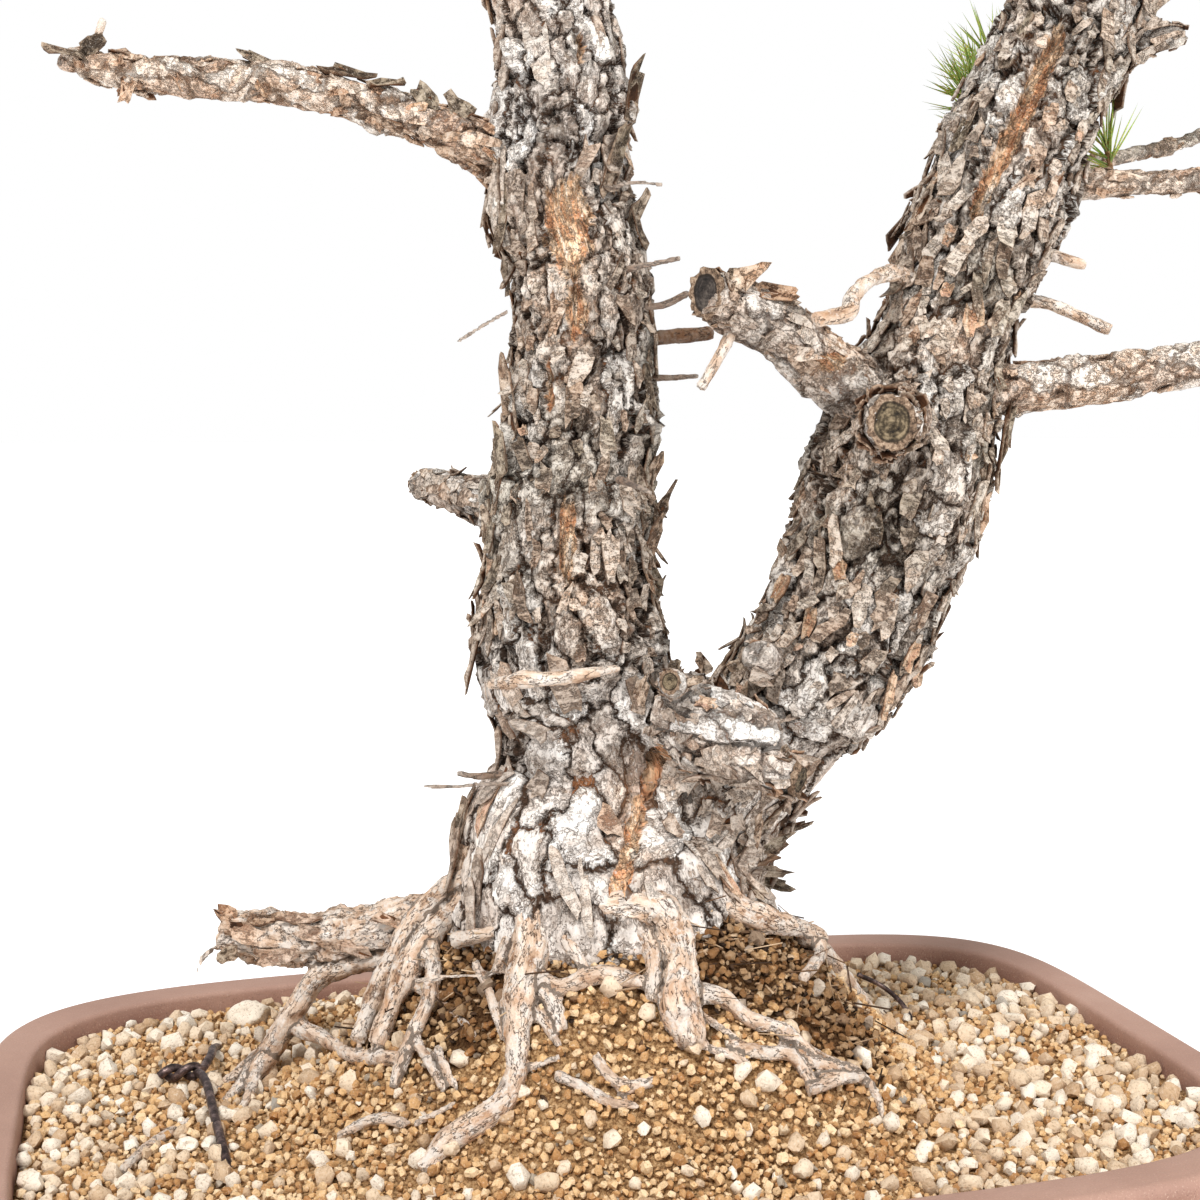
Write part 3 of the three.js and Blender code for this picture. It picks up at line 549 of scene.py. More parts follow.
class Grove:
    """Several limbs looked at together, to tell which one a point lies on."""

    def __init__(self, limbs):
        self.limbs = limbs
        self.place, self.side, self.back = (
            np.vstack([getattr(limb, name) for limb in limbs]) for name in ("place", "side", "back")
        )
        self.radius, self.size, self.along = (
            np.concatenate([getattr(limb, name) for limb in limbs])
            for name in ("radius", "size", "pattern_along")
        )
        self.owner = np.concatenate([np.full(len(limb.along), i) for i, limb in enumerate(limbs)])

    def depth(self, points, skip=None):
        """How deep each point is inside the limbs, apart from the one to skip, and the nearest row."""
        radius = self.radius if skip is None else np.where(self.owner == skip, -FAR, self.radius)
        row = np.empty(len(points), int)
        depth = np.empty(len(points))
        squares = (self.place**2).sum(axis=1)
        for start in range(0, len(points), AT_ONCE):
            these = slice(start, start + AT_ONCE)
            some = points[these]
            reach = (some**2).sum(axis=1)[:, None] + squares - 2 * some @ self.place.T
            reach = np.sqrt(np.maximum(reach, 0))
            inside = radius - reach
            depth[these] = inside.max(axis=1)
            other_limb = self.owner != self.owner[inside.argmax(axis=1)][:, None]
            row[these] = np.where(other_limb, FAR, reach).argmin(axis=1)
        return depth, row

    def straightened(self, points):
        """Where each point would lie if its limb were straight and its plates of one size."""
        row = self.depth(points)[1]
        best = row, row, np.zeros(len(points)), np.full(len(points), np.inf)
        for step in (-1, 1):
            other = np.clip(row + step, 0, len(self.owner) - 1)
            other = np.where(self.owner[other] == self.owner[row], other, row)
            stretch = self.place[other] - self.place[row]
            length = np.maximum((stretch**2).sum(axis=1), 1e-12)
            part = np.clip(((points - self.place[row]) * stretch).sum(axis=1) / length, 0, 1)
            gap = np.linalg.norm(points - self.place[row] - stretch * part[:, None], axis=1)
            nearer = gap < best[3]
            best = [np.where(nearer, new, old) for new, old in zip((row, other, part, gap), best)]
        low, high, part = best[:3]

        def between(rows):
            share = part if rows.ndim == 1 else part[:, None]
            return rows[low] * (1 - share) + rows[high] * share

        offset = points - between(self.place)
        x = (offset * between(self.side)).sum(axis=1)
        y = (offset * between(self.back)).sum(axis=1)
        size = between(self.size)
        return np.stack([x / size, y / size, between(self.along)], axis=1), row


wood_grove = Grove(wood_limbs)
print("rows of trunks and branches", len(wood_grove.radius))

# %% [markdown]
# The bark differs over the tree. It is silver and lies flat round the base, grey and shaggy on the two
# trunks, and pinkish tan and thin on branches and in the crown. In a few places it has come off and
# shows orange inner bark. These moods are numbers at each corner of the mesh, so that the big solid
# wood and the loose scales on it agree. A patch is given by its middle and how far it reaches in X, Y
# and Z.

# %% Moods of the bark
BARE_PATCHES = [
    ((-14, -8, 432), (11, 14, 19)), ((-15, -16, 313), (3.5, 14, 19)), ((-12, -12, 399), (5, 12, 11)),
    ((-10, -10, 498), (3.4, 12, 9)), ((82, -30, 380), (7, 14, 3.5)), ((-22, -14, 372), (2.2, 14, 12)),
]
BARE_PATCHES += [((138 + 3.4 * i, -10, 438 + 7 * i), (2.7, 14, 8)) for i in range(10)]
BARE_PATCHES += [
    ((19 - 3.1 * i, -22 - 4.2 * i, 228 - 8.6 * i), (4.6 - 0.4 * i, 18, 8)) for i in range(6)
]
DARK_PATCHES = [
    ((55, -40, 203), (18, 30, 18)), ((-47, 5, 350), (14, 40, 62)), ((22, 0, 340), (10, 40, 62)),
    ((64, -8, 335), (16, 40, 34)), ((143, -6, 407), (12, 40, 30)), ((181, 0, 486), (14, 40, 22)),
    ((47, -10, 264), (17, 40, 9)), ((-12, -14, 350), (14, 20, 16)), ((12, -5, 450), (9, 30, 34)),
    ((95, -25, 320), (20, 30, 22)), ((150, -5, 345), (16, 40, 34)), ((-60, 0, 200), (10, 40, 22)),
    ((36, -34, 212), (13, 30, 22)), ((52, -20, 222), (12, 30, 14)),
]
WARM_PATCHES = [
    ((-18, -12, 400), (18, 20, 26)), ((160, -12, 472), (11, 20, 38)), ((118, -20, 392), (22, 20, 15)),
    ((12, -30, 210), (12, 24, 26)), ((86, -34, 382), (22, 20, 12)), ((-12, -16, 300), (16, 16, 30)),
]
HOLLOWS = [((-39, 2, 447), 6, 9), ((21, -24, 250), 7, 7), ((46, -34, 262), 6, 6)]
WARMTH = {
    "trunk": 0.1, "stub": 0.25, "dead": 0.95, "branch": 0.8, "jin": 0.5, "root": 0.6, "rootlet": 0.7,
    "twig": 0.3,
}
PALENESS = {"stub": 0.55, "dead": 0.75, "branch": 0.55, "jin": 1.0, "root": 1.0, "rootlet": 0.9}


def nearness(places, spots, low, high):
    """How near places are to any of several spots, each with its reach: 1 at one, 0 far from all."""
    most = np.zeros(len(places))
    for middle, reach in spots:
        away = np.linalg.norm((places - middle) / reach, axis=1)
        most = np.maximum(most, 1 - eased(low, high, away))
    return most


def moods(places, kinds):
    """Paleness, warmth and bareness of the bark at places in the tree's own frame."""
    x, _, z = places.T
    trunk = kinds == "trunk"
    low_stub = (kinds == "stub") & (z < 300)
    pale = np.array([PALENESS.get(kind, 0) for kind in kinds])
    silver_foot = 0.2 + 0.8 * (1 - eased(232, 292, z + 0.2 * x))
    pale_top = 0.8 * eased(400, 480, z) * np.where(x < 60, 1, 0.5)
    pale = np.where(trunk, silver_foot + pale_top, np.where(low_stub, 0.9, pale))
    warm = np.array([WARMTH[kind] for kind in kinds])
    warm = np.where(trunk, warm + 0.66 * eased(500, 640, z), np.where(low_stub, 0.12, warm))
    bare, dark, warmer = (
        nearness(places, patches, 0.3, 1.5) for patches in (BARE_PATCHES, DARK_PATCHES, WARM_PATCHES)
    )
    return pale - 0.65 * dark * np.where(trunk, 1, 0.3), warm + 0.5 * warmer, bare


print("bare patches", len(BARE_PATCHES))

# %% [markdown]
# Old pine bark is cracked into plates, longer than they are wide, each tipped a little so that one end
# stands over its neighbour, and each peeled in thin layers with torn edges, like a map's contours. The
# same recipe shapes the mesh and colours it. The nodes for it exist in both kinds of tree, geometry and
# shader, so one function serves both and every crack is painted where it is carved.

# %% Layers of old bark
PLATE_WIDTH = 0.0095
PLATE_STRETCH = 0.45
LAYERS = 13.0
LAYER_DEPTH = 0.0135
CRACK_DEPTH = 0.0017
BARE_DEPTH = 0.0040


def bark_layers(bench, straight):
    """The height of the bark in metres and its fine part, then how much a place is in a crack or at the
    foot of a layer, where shade is painted, how much it is at the lip of a layer, and a number of its own
    for each plate."""
    half = (0.5, 0.5, 0.5)
    sway = bench.noise(straight, 60.0, 2.0, 0.6, output="Color")
    torn = bench.noise(straight, 420.0, 3.0, 0.7, output="Color")
    sway = bench.vector("SCALE", bench.vector("SUBTRACT", sway, half), Scale=0.016)
    torn = bench.vector("SCALE", bench.vector("SUBTRACT", torn, half), Scale=0.0046)
    moved = bench.vector("ADD", bench.vector("ADD", straight, sway), torn)
    squeezed = bench.stretched(moved, PLATE_STRETCH)
    cell = {"Vector": squeezed, "Scale": 1 / PLATE_WIDTH, "Randomness": 1.0}
    edge = bench.put("ShaderNodeTexVoronoi", cell, feature="DISTANCE_TO_EDGE").outputs["Distance"]
    plate = bench.put("ShaderNodeTexVoronoi", cell, feature="F1").outputs
    number = bench.parts(plate["Color"])[1]
    contour = bench.times(bench.noise(squeezed, 62.0, 4.0, 0.62), LAYERS)
    within = bench.sum("FRACT", contour)
    step = bench.soft(within, 0.0, 0.2)
    crack = bench.soft(edge, 0.085, 0.0)
    fine = bench.plus(crack, -CRACK_DEPTH, bench.times(step, LAYER_DEPTH / LAYERS))
    level = bench.times(bench.sum("FLOOR", contour), LAYER_DEPTH / LAYERS)
    from_middle = bench.vector("SUBTRACT", squeezed, plate["Position"])
    slope = bench.vector("SUBTRACT", plate["Color"], half)
    tip = bench.vector("DOT_PRODUCT", from_middle, slope, output="Value")
    broad = bench.plus(tip, 0.8, bench.times(number, 0.0018))
    centred = bench.sum("SUBTRACT", fine, LAYER_DEPTH / 2)
    height = bench.sum("ADD", bench.sum("ADD", level, broad), centred)
    # the foot of each layer, just under the next one, which gets painted shade
    step_foot_shade = bench.soft(within, 0.88, 0.985, 0.0, 0.85)
    crack_shade = bench.sum("MAXIMUM", bench.soft(edge, 0.055, 0.012), step_foot_shade)
    lip = bench.soft(within, 0.24, 0.03)
    return height, fine, crack_shade, lip, number


def bare_wood(bench, straight, bare):
    """Where the bark has come off, with a torn outline."""
    torn = bench.noise(bench.stretched(straight, 0.4), 230.0, 4.0, 0.6)
    return bench.soft(bench.plus(torn, 1.5, bare), 1.13, 1.25)


def relief(name, height_of):
    """A geometry node tree that moves a surface along its normals by a height in metres."""
    tree = bpy.data.node_groups.new(name, "GeometryNodeTree")
    tree.is_modifier = True
    for way in ("INPUT", "OUTPUT"):
        tree.interface.new_socket("Geometry", in_out=way, socket_type="NodeSocketGeometry")
    bench = Bench(tree)
    start = bench.put("NodeGroupInput")
    end = bench.put("NodeGroupOutput")

    def stored(name, kind):
        return bench.put("GeometryNodeInputNamedAttribute", {"Name": name}, data_type=kind).outputs[0]

    normal = bench.put("GeometryNodeInputNormal").outputs["Normal"]
    offset = bench.vector("SCALE", normal, Scale=height_of(bench, stored))
    moved = bench.put("GeometryNodeSetPosition", {"Geometry": start.outputs[0], "Offset": offset})
    bench.feed(end.inputs[0], moved.outputs[0])
    return tree


def bark_height(bench, stored):
    straight = stored("straight", "FLOAT_VECTOR")
    height = bark_layers(bench, straight)[0]
    height = bench.times(height, bench.span(stored("size", "FLOAT"), 1.0, 2.1, 1.0, 0.6))
    swell = bench.sum("SUBTRACT", bench.noise(straight, 34.0, 2.0), 0.42)
    height = bench.plus(swell, 0.006, height)
    grain = bench.noise(bench.stretched(straight, 0.15), 300.0, 2.0)
    inner = bench.plus(grain, 0.0022, -BARE_DEPTH)
    height = bench.between(bare_wood(bench, straight, stored("bare", "FLOAT")), height, inner)
    return bench.times(height, bench.span(stored("girth", "FLOAT"), 0.003, 0.024, 0.3, 1.0))


def root_height(bench, stored):
    straight = stored("straight", "FLOAT_VECTOR")
    wrinkle = bench.sum("SUBTRACT", bench.noise(bench.stretched(straight, 0.3), 300.0, 3.0, 0.6), 0.5)
    lump = bench.sum("SUBTRACT", bench.noise(straight, 80.0, 3.0, 0.6), 0.5)
    height = bench.plus(wrinkle, 1.1, bench.times(lump, 1.4))
    return bench.times(height, bench.times(stored("girth", "FLOAT"), 0.5))


bark_relief = relief("bark relief", bark_height)
root_relief = relief("root relief", root_height)
print("relief trees", [tree.name for tree in (bark_relief, root_relief)])

# %% [markdown]
# The wood could be sculpted from one block, but its limbs are round, so it is easier to draw them as
# thick curves and let a voxel remesh melt them into one skin. The radius wavers a little on the way,
# because no limb is turned on a lathe. The skin then gets its numbers and its relief.

# %% From curves to one skin
def chosen(piece):
    """Leaves only this piece selected and active."""
    bpy.ops.object.select_all(action="DESELECT")
    piece.select_set(True)
    bpy.context.view_layer.objects.active = piece


def apply(piece, kind, **settings):
    """Adds a modifier and applies it."""
    chosen(piece)
    added = piece.modifiers.new(kind.lower(), kind)
    for name, value in settings.items():
        setattr(added, name, value)
    bpy.ops.object.modifier_apply(modifier=added.name)


def corners_of(piece):
    corners = np.empty(len(piece.data.vertices) * 3)
    piece.data.vertices.foreach_get("co", corners)
    return corners.reshape(-1, 3)


def set_corners(piece, corners):
    piece.data.vertices.foreach_set("co", corners.ravel())
    piece.data.update()


def store(piece, name, values):
    """Keeps a number, or a vector, at each corner."""
    values = np.ascontiguousarray(values, dtype=np.float32)
    kind, field = ("FLOAT_VECTOR", "vector") if values.ndim == 2 else ("FLOAT", "value")
    piece.data.attributes.new(name, kind, "POINT").data.foreach_set(field, values.ravel())


def triangles(piece):
    return sum(len(face.vertices) - 2 for face in piece.data.polygons)


def crisp(piece, angle):
    """Shades a piece smooth, apart from the edges that bend by more than an angle in degrees."""
    chosen(piece)
    bpy.ops.object.shade_smooth_by_angle(angle=math.radians(angle))


def round_curves(name, thickness, rounding, lines):
    """Round curves made a mesh. A line is its places and its radii, as shares of the thickness."""
    curve = bpy.data.curves.new(name, "CURVE")
    curve.dimensions = "3D"
    curve.bevel_depth = thickness
    curve.bevel_resolution = rounding
    curve.use_fill_caps = True
    for places, radii in lines:
        spline = curve.splines.new("POLY")
        spline.points.add(len(places) - 1)
        spline.points.foreach_set("co", np.column_stack([places, np.ones(len(places))]).ravel())
        spline.points.foreach_set("radius", radii)
    piece = bpy.data.objects.new(name, curve)
    bpy.context.collection.objects.link(piece)
    chosen(piece)
    bpy.ops.object.convert(target="MESH")
    return bpy.context.object


THICK = 0.01
THINNEST = 0.0009


def grown_skin(name, limbs, shape, voxel, waver, thinner, rng):
    """The limbs melted into one skin, with its numbers stored and its relief applied."""
    lines = []
    for limb in limbs:
        swell = np.convolve(rng.normal(0, waver, len(limb.along) + 4), np.ones(5) / 2.2, "valid")
        radius = np.maximum(limb.radius * (1 + swell) - thinner, limb.radius * 0.6)
        lines.append((limb.place, np.maximum(radius, THINNEST) / THICK))
    piece = round_curves(name, THICK, 5, lines)
    apply(piece, "REMESH", mode="VOXEL", voxel_size=voxel)
    corners = corners_of(piece)
    grove = Grove(limbs)
    straight, row = grove.straightened(corners)
    kinds = np.array([limbs[i].kind for i in grove.owner[row]])
    pale, warm, bare = moods(tree_frame(corners), kinds)
    numbers = {
        "straight": straight, "girth": grove.radius[row], "size": grove.size[row],
        "pale": pale, "warm": warm, "bare": bare,
    }
    for label, values in numbers.items():
        store(piece, label, values)
    apply(piece, "NODES", node_group=shape)
    crisp(piece, 34)
    print(name, triangles(piece), "triangles")
    return piece


left_side = [limb for limb in wood_limbs if limb.name in ("left_trunk", "fork")]
right_side = [limb for limb in wood_limbs if limb.name == "right_trunk"]
outer_side = [limb for limb in wood_limbs if limb.kind != "trunk"]
# the limbs, their relief, the voxel's size, how much the radius wavers, how much thinner than the CAD
SKINS = {
    "trunk_left": (left_side, bark_relief, 0.00165, 0.03, 0.001),
    "trunk_right": (right_side, bark_relief, 0.00165, 0.03, 0.001),
    "branch_wood": (outer_side, bark_relief, 0.002, 0.05, 0.0),
    "dead_twigs": (jin_limbs, root_relief, 0.0011, 0.08, 0.0),
    "exposed_roots": (root_limbs, root_relief, 0.00153, 0.08, 0.0),
}
rng = np.random.default_rng(11)
skins = [grown_skin(name, *recipe, rng) for name, recipe in SKINS.items()]
left_wood, right_wood, branch_wood, dead_twigs, exposed_roots = skins
bark_pieces = (left_wood, right_wood, branch_wood)
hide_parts("tree")
for piece in skins:
    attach(piece, "root")

# %% [markdown]
# A few deep holes sit where a branch leaves the trunk. They are pressed in one by one: each corner near
# the hole's mouth is pushed back, away from the front.

# %% Hollows
in_tree = tree_frame(corners_of(left_wood))
for middle, reach, depth in HOLLOWS:
    away = np.linalg.norm((in_tree - middle) / (reach, 2.2 * reach, reach), axis=1)
    push = (1 - eased(0.35, 1.0, away)) * depth
    in_tree[:, 1] += np.where(in_tree[:, 1] < middle[1] + reach, push, 0)
set_corners(left_wood, planted(in_tree))
print("hollows", len(HOLLOWS))

# %% [markdown]
# All bark shares one way of being coloured, so it is a node group. It takes the place, the moods and a
# number of its own for each plate, and gives back a colour and a fine height. Grey, silver, tan and
# olive bark are four ramps on the same mottling. Dark stains, bare orange wood, dark and light specks
# and fine dark cracks lie over them.

# %% Bark colour
bench, given, end = effect(
    "bark colour",
    {"Place": "vector", "Pale": "number", "Warm": "number", "Bare": "number", "Number": "number"},
    {"Color": "colour", "Height": "number"},
)
place = given["Place"]
mottle = bench.noise(place, 210.0, 5.0, 0.68)
tone = bench.sum("ADD", mottle, bench.plus(given["Number"], 0.30, -0.14))
grey = bench.ramp(
    tone, (0.30, 104, 90, 78), (0.43, 174, 158, 143), (0.55, 215, 203, 190),
    (0.70, 238, 231, 223),
)
silver = bench.ramp(
    tone, (0.28, 142, 126, 114), (0.42, 204, 191, 180), (0.56, 229, 220, 212),
    (0.72, 245, 241, 236),
)
tan = bench.ramp(
    tone, (0.30, 160, 118, 90), (0.44, 222, 184, 154), (0.58, 242, 218, 196),
    (0.74, 252, 243, 233),
)
olive = bench.ramp(
    tone, (0.30, 54, 47, 37), (0.44, 118, 107, 90), (0.57, 174, 163, 144),
    (0.72, 222, 214, 198),
)
broad = bench.noise(place, 26.0, 2.0)
warm = bench.sum("ADD", given["Warm"], bench.span(broad, 0.35, 0.65, -0.3, 0.3), clamp=True)
colour = bench.blend(warm, bench.blend(given["Pale"], grey, silver), tan)
shade = bench.sum("SUBTRACT", bench.span(broad, 0.60, 0.36, -0.3, 0.5), given["Pale"])
colour = bench.blend(bench.span(shade, 0.0, 0.8, 0.0, 0.9), colour, olive)
stain = bench.span(bench.noise(place, 55.0, 4.0, 0.7), 0.56, 0.70)
colour = bench.blend(bench.times(stain, 0.4), colour, paint(96, 80, 66))
grain = bench.noise(bench.stretched(place, 0.16), 380.0, 4.0, 0.7)
orange = bench.ramp(
    grain, (0.30, 136, 84, 54), (0.41, 220, 156, 112), (0.54, 245, 204, 163),
    (0.68, 254, 240, 222),
)
colour = bench.blend(given["Bare"], colour, orange)
speck = bench.noise(place, 1300.0, 2.0, 0.7)
colour = bench.blend(bench.span(speck, 0.42, 0.32, 0.0, 0.6), colour, paint(64, 50, 40))
colour = bench.blend(bench.span(speck, 0.58, 0.70, 0.0, 0.5), colour, paint(252, 246, 238))
line = bench.soft(bench.gap(mottle, 0.47), 0.018, 0.005, 0.0, 0.85)
split = bench.soft(bench.gap(grain, 0.5), 0.022, 0.006, 0.0, 0.7)
line = bench.sum("MAXIMUM", line, bench.times(split, bench.span(mottle, 0.62, 0.48)))
line = bench.times(line, bench.span(given["Pale"], 0.4, 1.0, 1.0, 0.6))
bench.feed(end.inputs["Color"], bench.blend(line, colour, paint(56, 43, 34)))
bench.feed(end.inputs["Height"], bench.plus(line, -0.3, bench.plus(speck, 0.3, mottle)))
bark_colour = bench.tree
print("bark colour nodes", len(bark_colour.nodes))

# %% [markdown]
# On the standing wood the cracks and the foot of each layer are painted dark, as painted shade, and
# the lips of the layers are rubbed pale. Both masks come from the recipe that carved the mesh. The mesh
# itself helps too: its sharpest hollows get painted shade and its sharpest ridges a painted highlight.

# %% Bark of the standing wood
def hollow_shade_and_ridge_highlight(bench, colour, depth, ridge_light):
    """Paints shade into a mesh's creases and a highlight onto its ridges, found by how sharply it bends."""
    bend = bench.put("ShaderNodeNewGeometry").outputs["Pointiness"]
    colour = bench.blend(bench.span(bend, 0.495, 0.43, 0.0, depth), colour, paint(58, 44, 34))
    return bench.blend(bench.span(bend, 0.52, 0.60, 0.0, ridge_light), colour, paint(236, 226, 214))


def bark_coat(bench, place, number, bare):
    """Colour and height of the shared bark, fed with the moods stored on the piece."""
    fed = {
        "Place": place, "Number": number, "Bare": bare,
        "Pale": bench.attribute("pale"), "Warm": bench.attribute("warm"),
    }
    made = bench.put("ShaderNodeGroup", fed, node_tree=bark_colour).outputs
    return made["Color"], made["Height"]


standing_bark, bench, shader = finish_for("bark of the standing wood", 0.9, 0.2)
straight = bench.attribute("straight", "Vector")
bare = bare_wood(bench, straight, bench.attribute("bare"))
height, fine, crack_shade, lip, number = bark_layers(bench, straight)
colour, rough = bark_coat(bench, straight, number, bare)
torn_edge = bench.noise(straight, 160.0, 3.0)
worn = bench.times(lip, bench.span(torn_edge, 0.4, 0.6, 0.0, 0.5))
colour = bench.blend(worn, colour, paint(212, 184, 158))
dark = bench.ramp(torn_edge, (0.35, 40, 31, 25), (0.58, 74, 55, 42), (0.72, 150, 98, 62))
dark = bench.blend(bench.attribute("warm"), dark, paint(122, 88, 64))
covered = bench.sum("SUBTRACT", bench.span(bench.attribute("girth"), 0.006, 0.02, 0.6, 1.0), bare)
# painted shade: the cracks and the foot of each layer are darkened wherever bark covers the wood
colour = bench.blend(bench.times(crack_shade, covered), colour, dark)
# painted shade on the covered bark, stronger where it is less pale, for the shade under the loose scales
shade_under_scales = bench.span(bench.attribute("pale"), 0.9, 0.2, 0.0, 0.16)
colour = bench.blend(bench.times(shade_under_scales, covered), colour, paint(150, 134, 118), "MULTIPLY")
# painted shade in the sharpest hollows of the mesh and a painted highlight on its sharpest ridges
dress(bench, shader, hollow_shade_and_ridge_highlight(bench, colour, 0.7, 0.6), bench.plus(rough, 0.0012, fine), 1.0)
for piece in bark_pieces:
    piece.data.materials.append(standing_bark)
print("standing bark nodes", len(standing_bark.node_tree.nodes))

# %% [markdown]
# Roots are smoother than the trunks: tan and grey, with wrinkles that run along them, small flakes of
# pale skin and patches of dark soil. Their creases get painted shade and their ridges a painted highlight.

# %% Skin of the roots
root_skin, bench, shader = finish_for("skin of the roots", 0.8, 0.25)
straight = bench.attribute("straight", "Vector")
skin = bench.noise(bench.stretched(straight, 0.35), 190.0, 5.0, 0.68)
colour = bench.ramp(
    skin, (0.31, 140, 104, 78), (0.42, 202, 168, 140), (0.54, 230, 206, 184),
    (0.68, 249, 240, 231),
)
silver_skin = bench.noise(straight, 120.0, 5.0, 0.72)
colour = bench.blend(bench.soft(silver_skin, 0.50, 0.58, 0.0, 0.85), colour, paint(228, 217, 206))
rust = bench.noise(straight, 70.0, 3.0, 0.6)
colour = bench.blend(bench.soft(rust, 0.58, 0.68, 0.0, 0.4), colour, paint(200, 146, 102))
ripple = bench.noise(bench.stretched(straight, 0.4), 250.0, 4.0, 0.65)
crack = bench.soft(bench.gap(ripple, 0.48), 0.019, 0.005)
colour = bench.blend(bench.times(crack, 0.85), colour, paint(84, 56, 38))
soiled = bench.noise(straight, 48.0, 4.0, 0.7)
colour = bench.blend(bench.soft(soiled, 0.56, 0.68, 0.0, 0.7), colour, paint(126, 90, 62))
pore = bench.noise(straight, 900.0, 3.0, 0.7)
colour = bench.blend(bench.span(pore, 0.40, 0.30, 0.0, 0.5), colour, paint(112, 80, 56))
weathered = bench.sum("SUBTRACT", 1.0, bench.attribute("pale"))
colour = bench.blend(weathered, colour, paint(140, 118, 100), "MULTIPLY")
height = bench.plus(crack, -0.6, bench.plus(pore, 0.5, silver_skin))
# painted shade in the sharpest hollows of the mesh and a painted highlight on its sharpest ridges
dress(bench, shader, hollow_shade_and_ridge_highlight(bench, colour, 0.9, 0.45), height, 0.0014)
for piece in (dead_twigs, exposed_roots):
    piece.data.materials.append(root_skin)
print("root skin nodes", len(root_skin.node_tree.nodes))

# %% [markdown]
# The shaggy look comes from thousands of loose scales, each a thin chip with a jagged outline that
# overlaps its neighbours. No two are alike and each is bent to its limb, so they are worked out as
# corners rather than modelled one by one: a middle, an inner ring, an outer ring, and a rim below that
# gives the chip its thickness. Most lie nearly flat, some lift at one end, and a few hang well clear,
# which is what breaks up the outline of the trunks.

# %% Making one family of scales
SCALE_RING = 11
SCALE_CORNERS = 2 + 3 * SCALE_RING


def mesh_piece(name, corners, faces):
    """A piece from corners and triangles."""
    mesh = bpy.data.meshes.new(name)
    mesh.vertices.add(len(corners))
    mesh.vertices.foreach_set("co", np.ascontiguousarray(corners, dtype=np.float32).ravel())
    mesh.loops.add(faces.size)
    mesh.loops.foreach_set("vertex_index", np.ascontiguousarray(faces, dtype=np.int32).ravel())
    mesh.polygons.add(len(faces))
    mesh.polygons.foreach_set("loop_start", np.arange(0, faces.size, 3, dtype=np.int32))
    mesh.update(calc_edges=True)
    piece = bpy.data.objects.new(name, mesh)
    bpy.context.collection.objects.link(piece)
    return piece


def scale_faces():
    """Triangles of one scale: middle 0, inner ring, outer ring, lower rim, lower middle."""
    ring = np.arange(SCALE_RING)
    after = (ring + 1) % SCALE_RING
    inner, outer, lower, bottom = (1 + i * SCALE_RING for i in range(4))
    rows = [(0 * ring, inner + ring, inner + after)]
    for a, b in ((inner, outer), (outer, lower)):
        rows += [(a + ring, b + ring, b + after), (a + ring, b + after, a + after)]
    rows.append((0 * ring + bottom, lower + after, lower + ring))
    return np.vstack([np.stack(row, axis=1) for row in rows])


def boxed(wave):
    """Pushes a wave towards its ends, which turns an oval outline into a squarer one."""
    return np.sign(wave) * np.abs(wave) ** 0.7


def scale_rows(a, b, inward):
    """All corners of scales from their outlines: their places, nearness to the edge, and underside."""
    zero, flat = np.zeros((len(a), 1)), np.zeros(a.shape)
    a, b = (np.hstack([zero, row * inward, row, row * 0.96, zero]) for row in (a, b))
    edge = np.hstack([zero, flat + 0.35, flat + 1, flat + 1, zero])
    below = np.hstack([zero, flat, flat, flat + 1, zero + 1])
    return a, b, edge, below


def scale_numbers(straight, edge, below, **own):
    """What is stored at the corners. own holds numbers that are the same all over a scale."""
    stored = {"straight": straight.reshape(-1, 3), "edge": edge.ravel(), "below": below.ravel()}
    stored.update((label, np.repeat(values, SCALE_CORNERS)) for label, values in own.items())
    return stored


SCALE_FACES = scale_faces()
print("triangles in one scale", len(SCALE_FACES))

# %% [markdown]
# Bark doesn't flake evenly. The trunks are shaggiest at their edges in a few places, where the photo's
# outline is ragged, so these spots are listed, each with its reach.

# %% Where the bark is shaggy
SHAGGY_SPOTS = [
    ((11, 6, 455), 24), ((20, 8, 315), 32), ((-40, 8, 435), 28), ((-36, 8, 368), 20),
    ((-50, 8, 293), 26), ((60, -30, 412), 17), ((116, -4, 430), 34), ((152, 0, 345), 27),
    ((112, 0, 255), 30), ((52, 0, 272), 26), ((55, -8, 196), 36), ((-62, 4, 192), 14),
    ((-18, 30, 372), 26), ((132, 24, 395), 30), ((70, 20, 250), 26), ((196, 12, 500), 26),
]


def shaggy(places):
    """How shaggy the bark is at places in the tree's own frame, 0 to 1."""
    return nearness(places, SHAGGY_SPOTS, 0.55, 1.15)


print("shaggy spots", len(SHAGGY_SPOTS))

# %% [markdown]
# Scales have to be spread evenly but not in rows. Two steps that never fall into a rhythm, one along
# the limb and one round it, do that for any number of scales. Each scale then gets its size, outline,
# lift and curl at random, larger and flatter at the silver base, and livelier where the bark is shaggy.

# %% Laying scales on a limb
SPREAD_ALONG = 0.7548776662466927
SPREAD_ROUND = 0.5698402909980532
SCALES_FROM = 172
RIGHT_TRUNK_FROM = 265
FULLY_PALE = 0.7


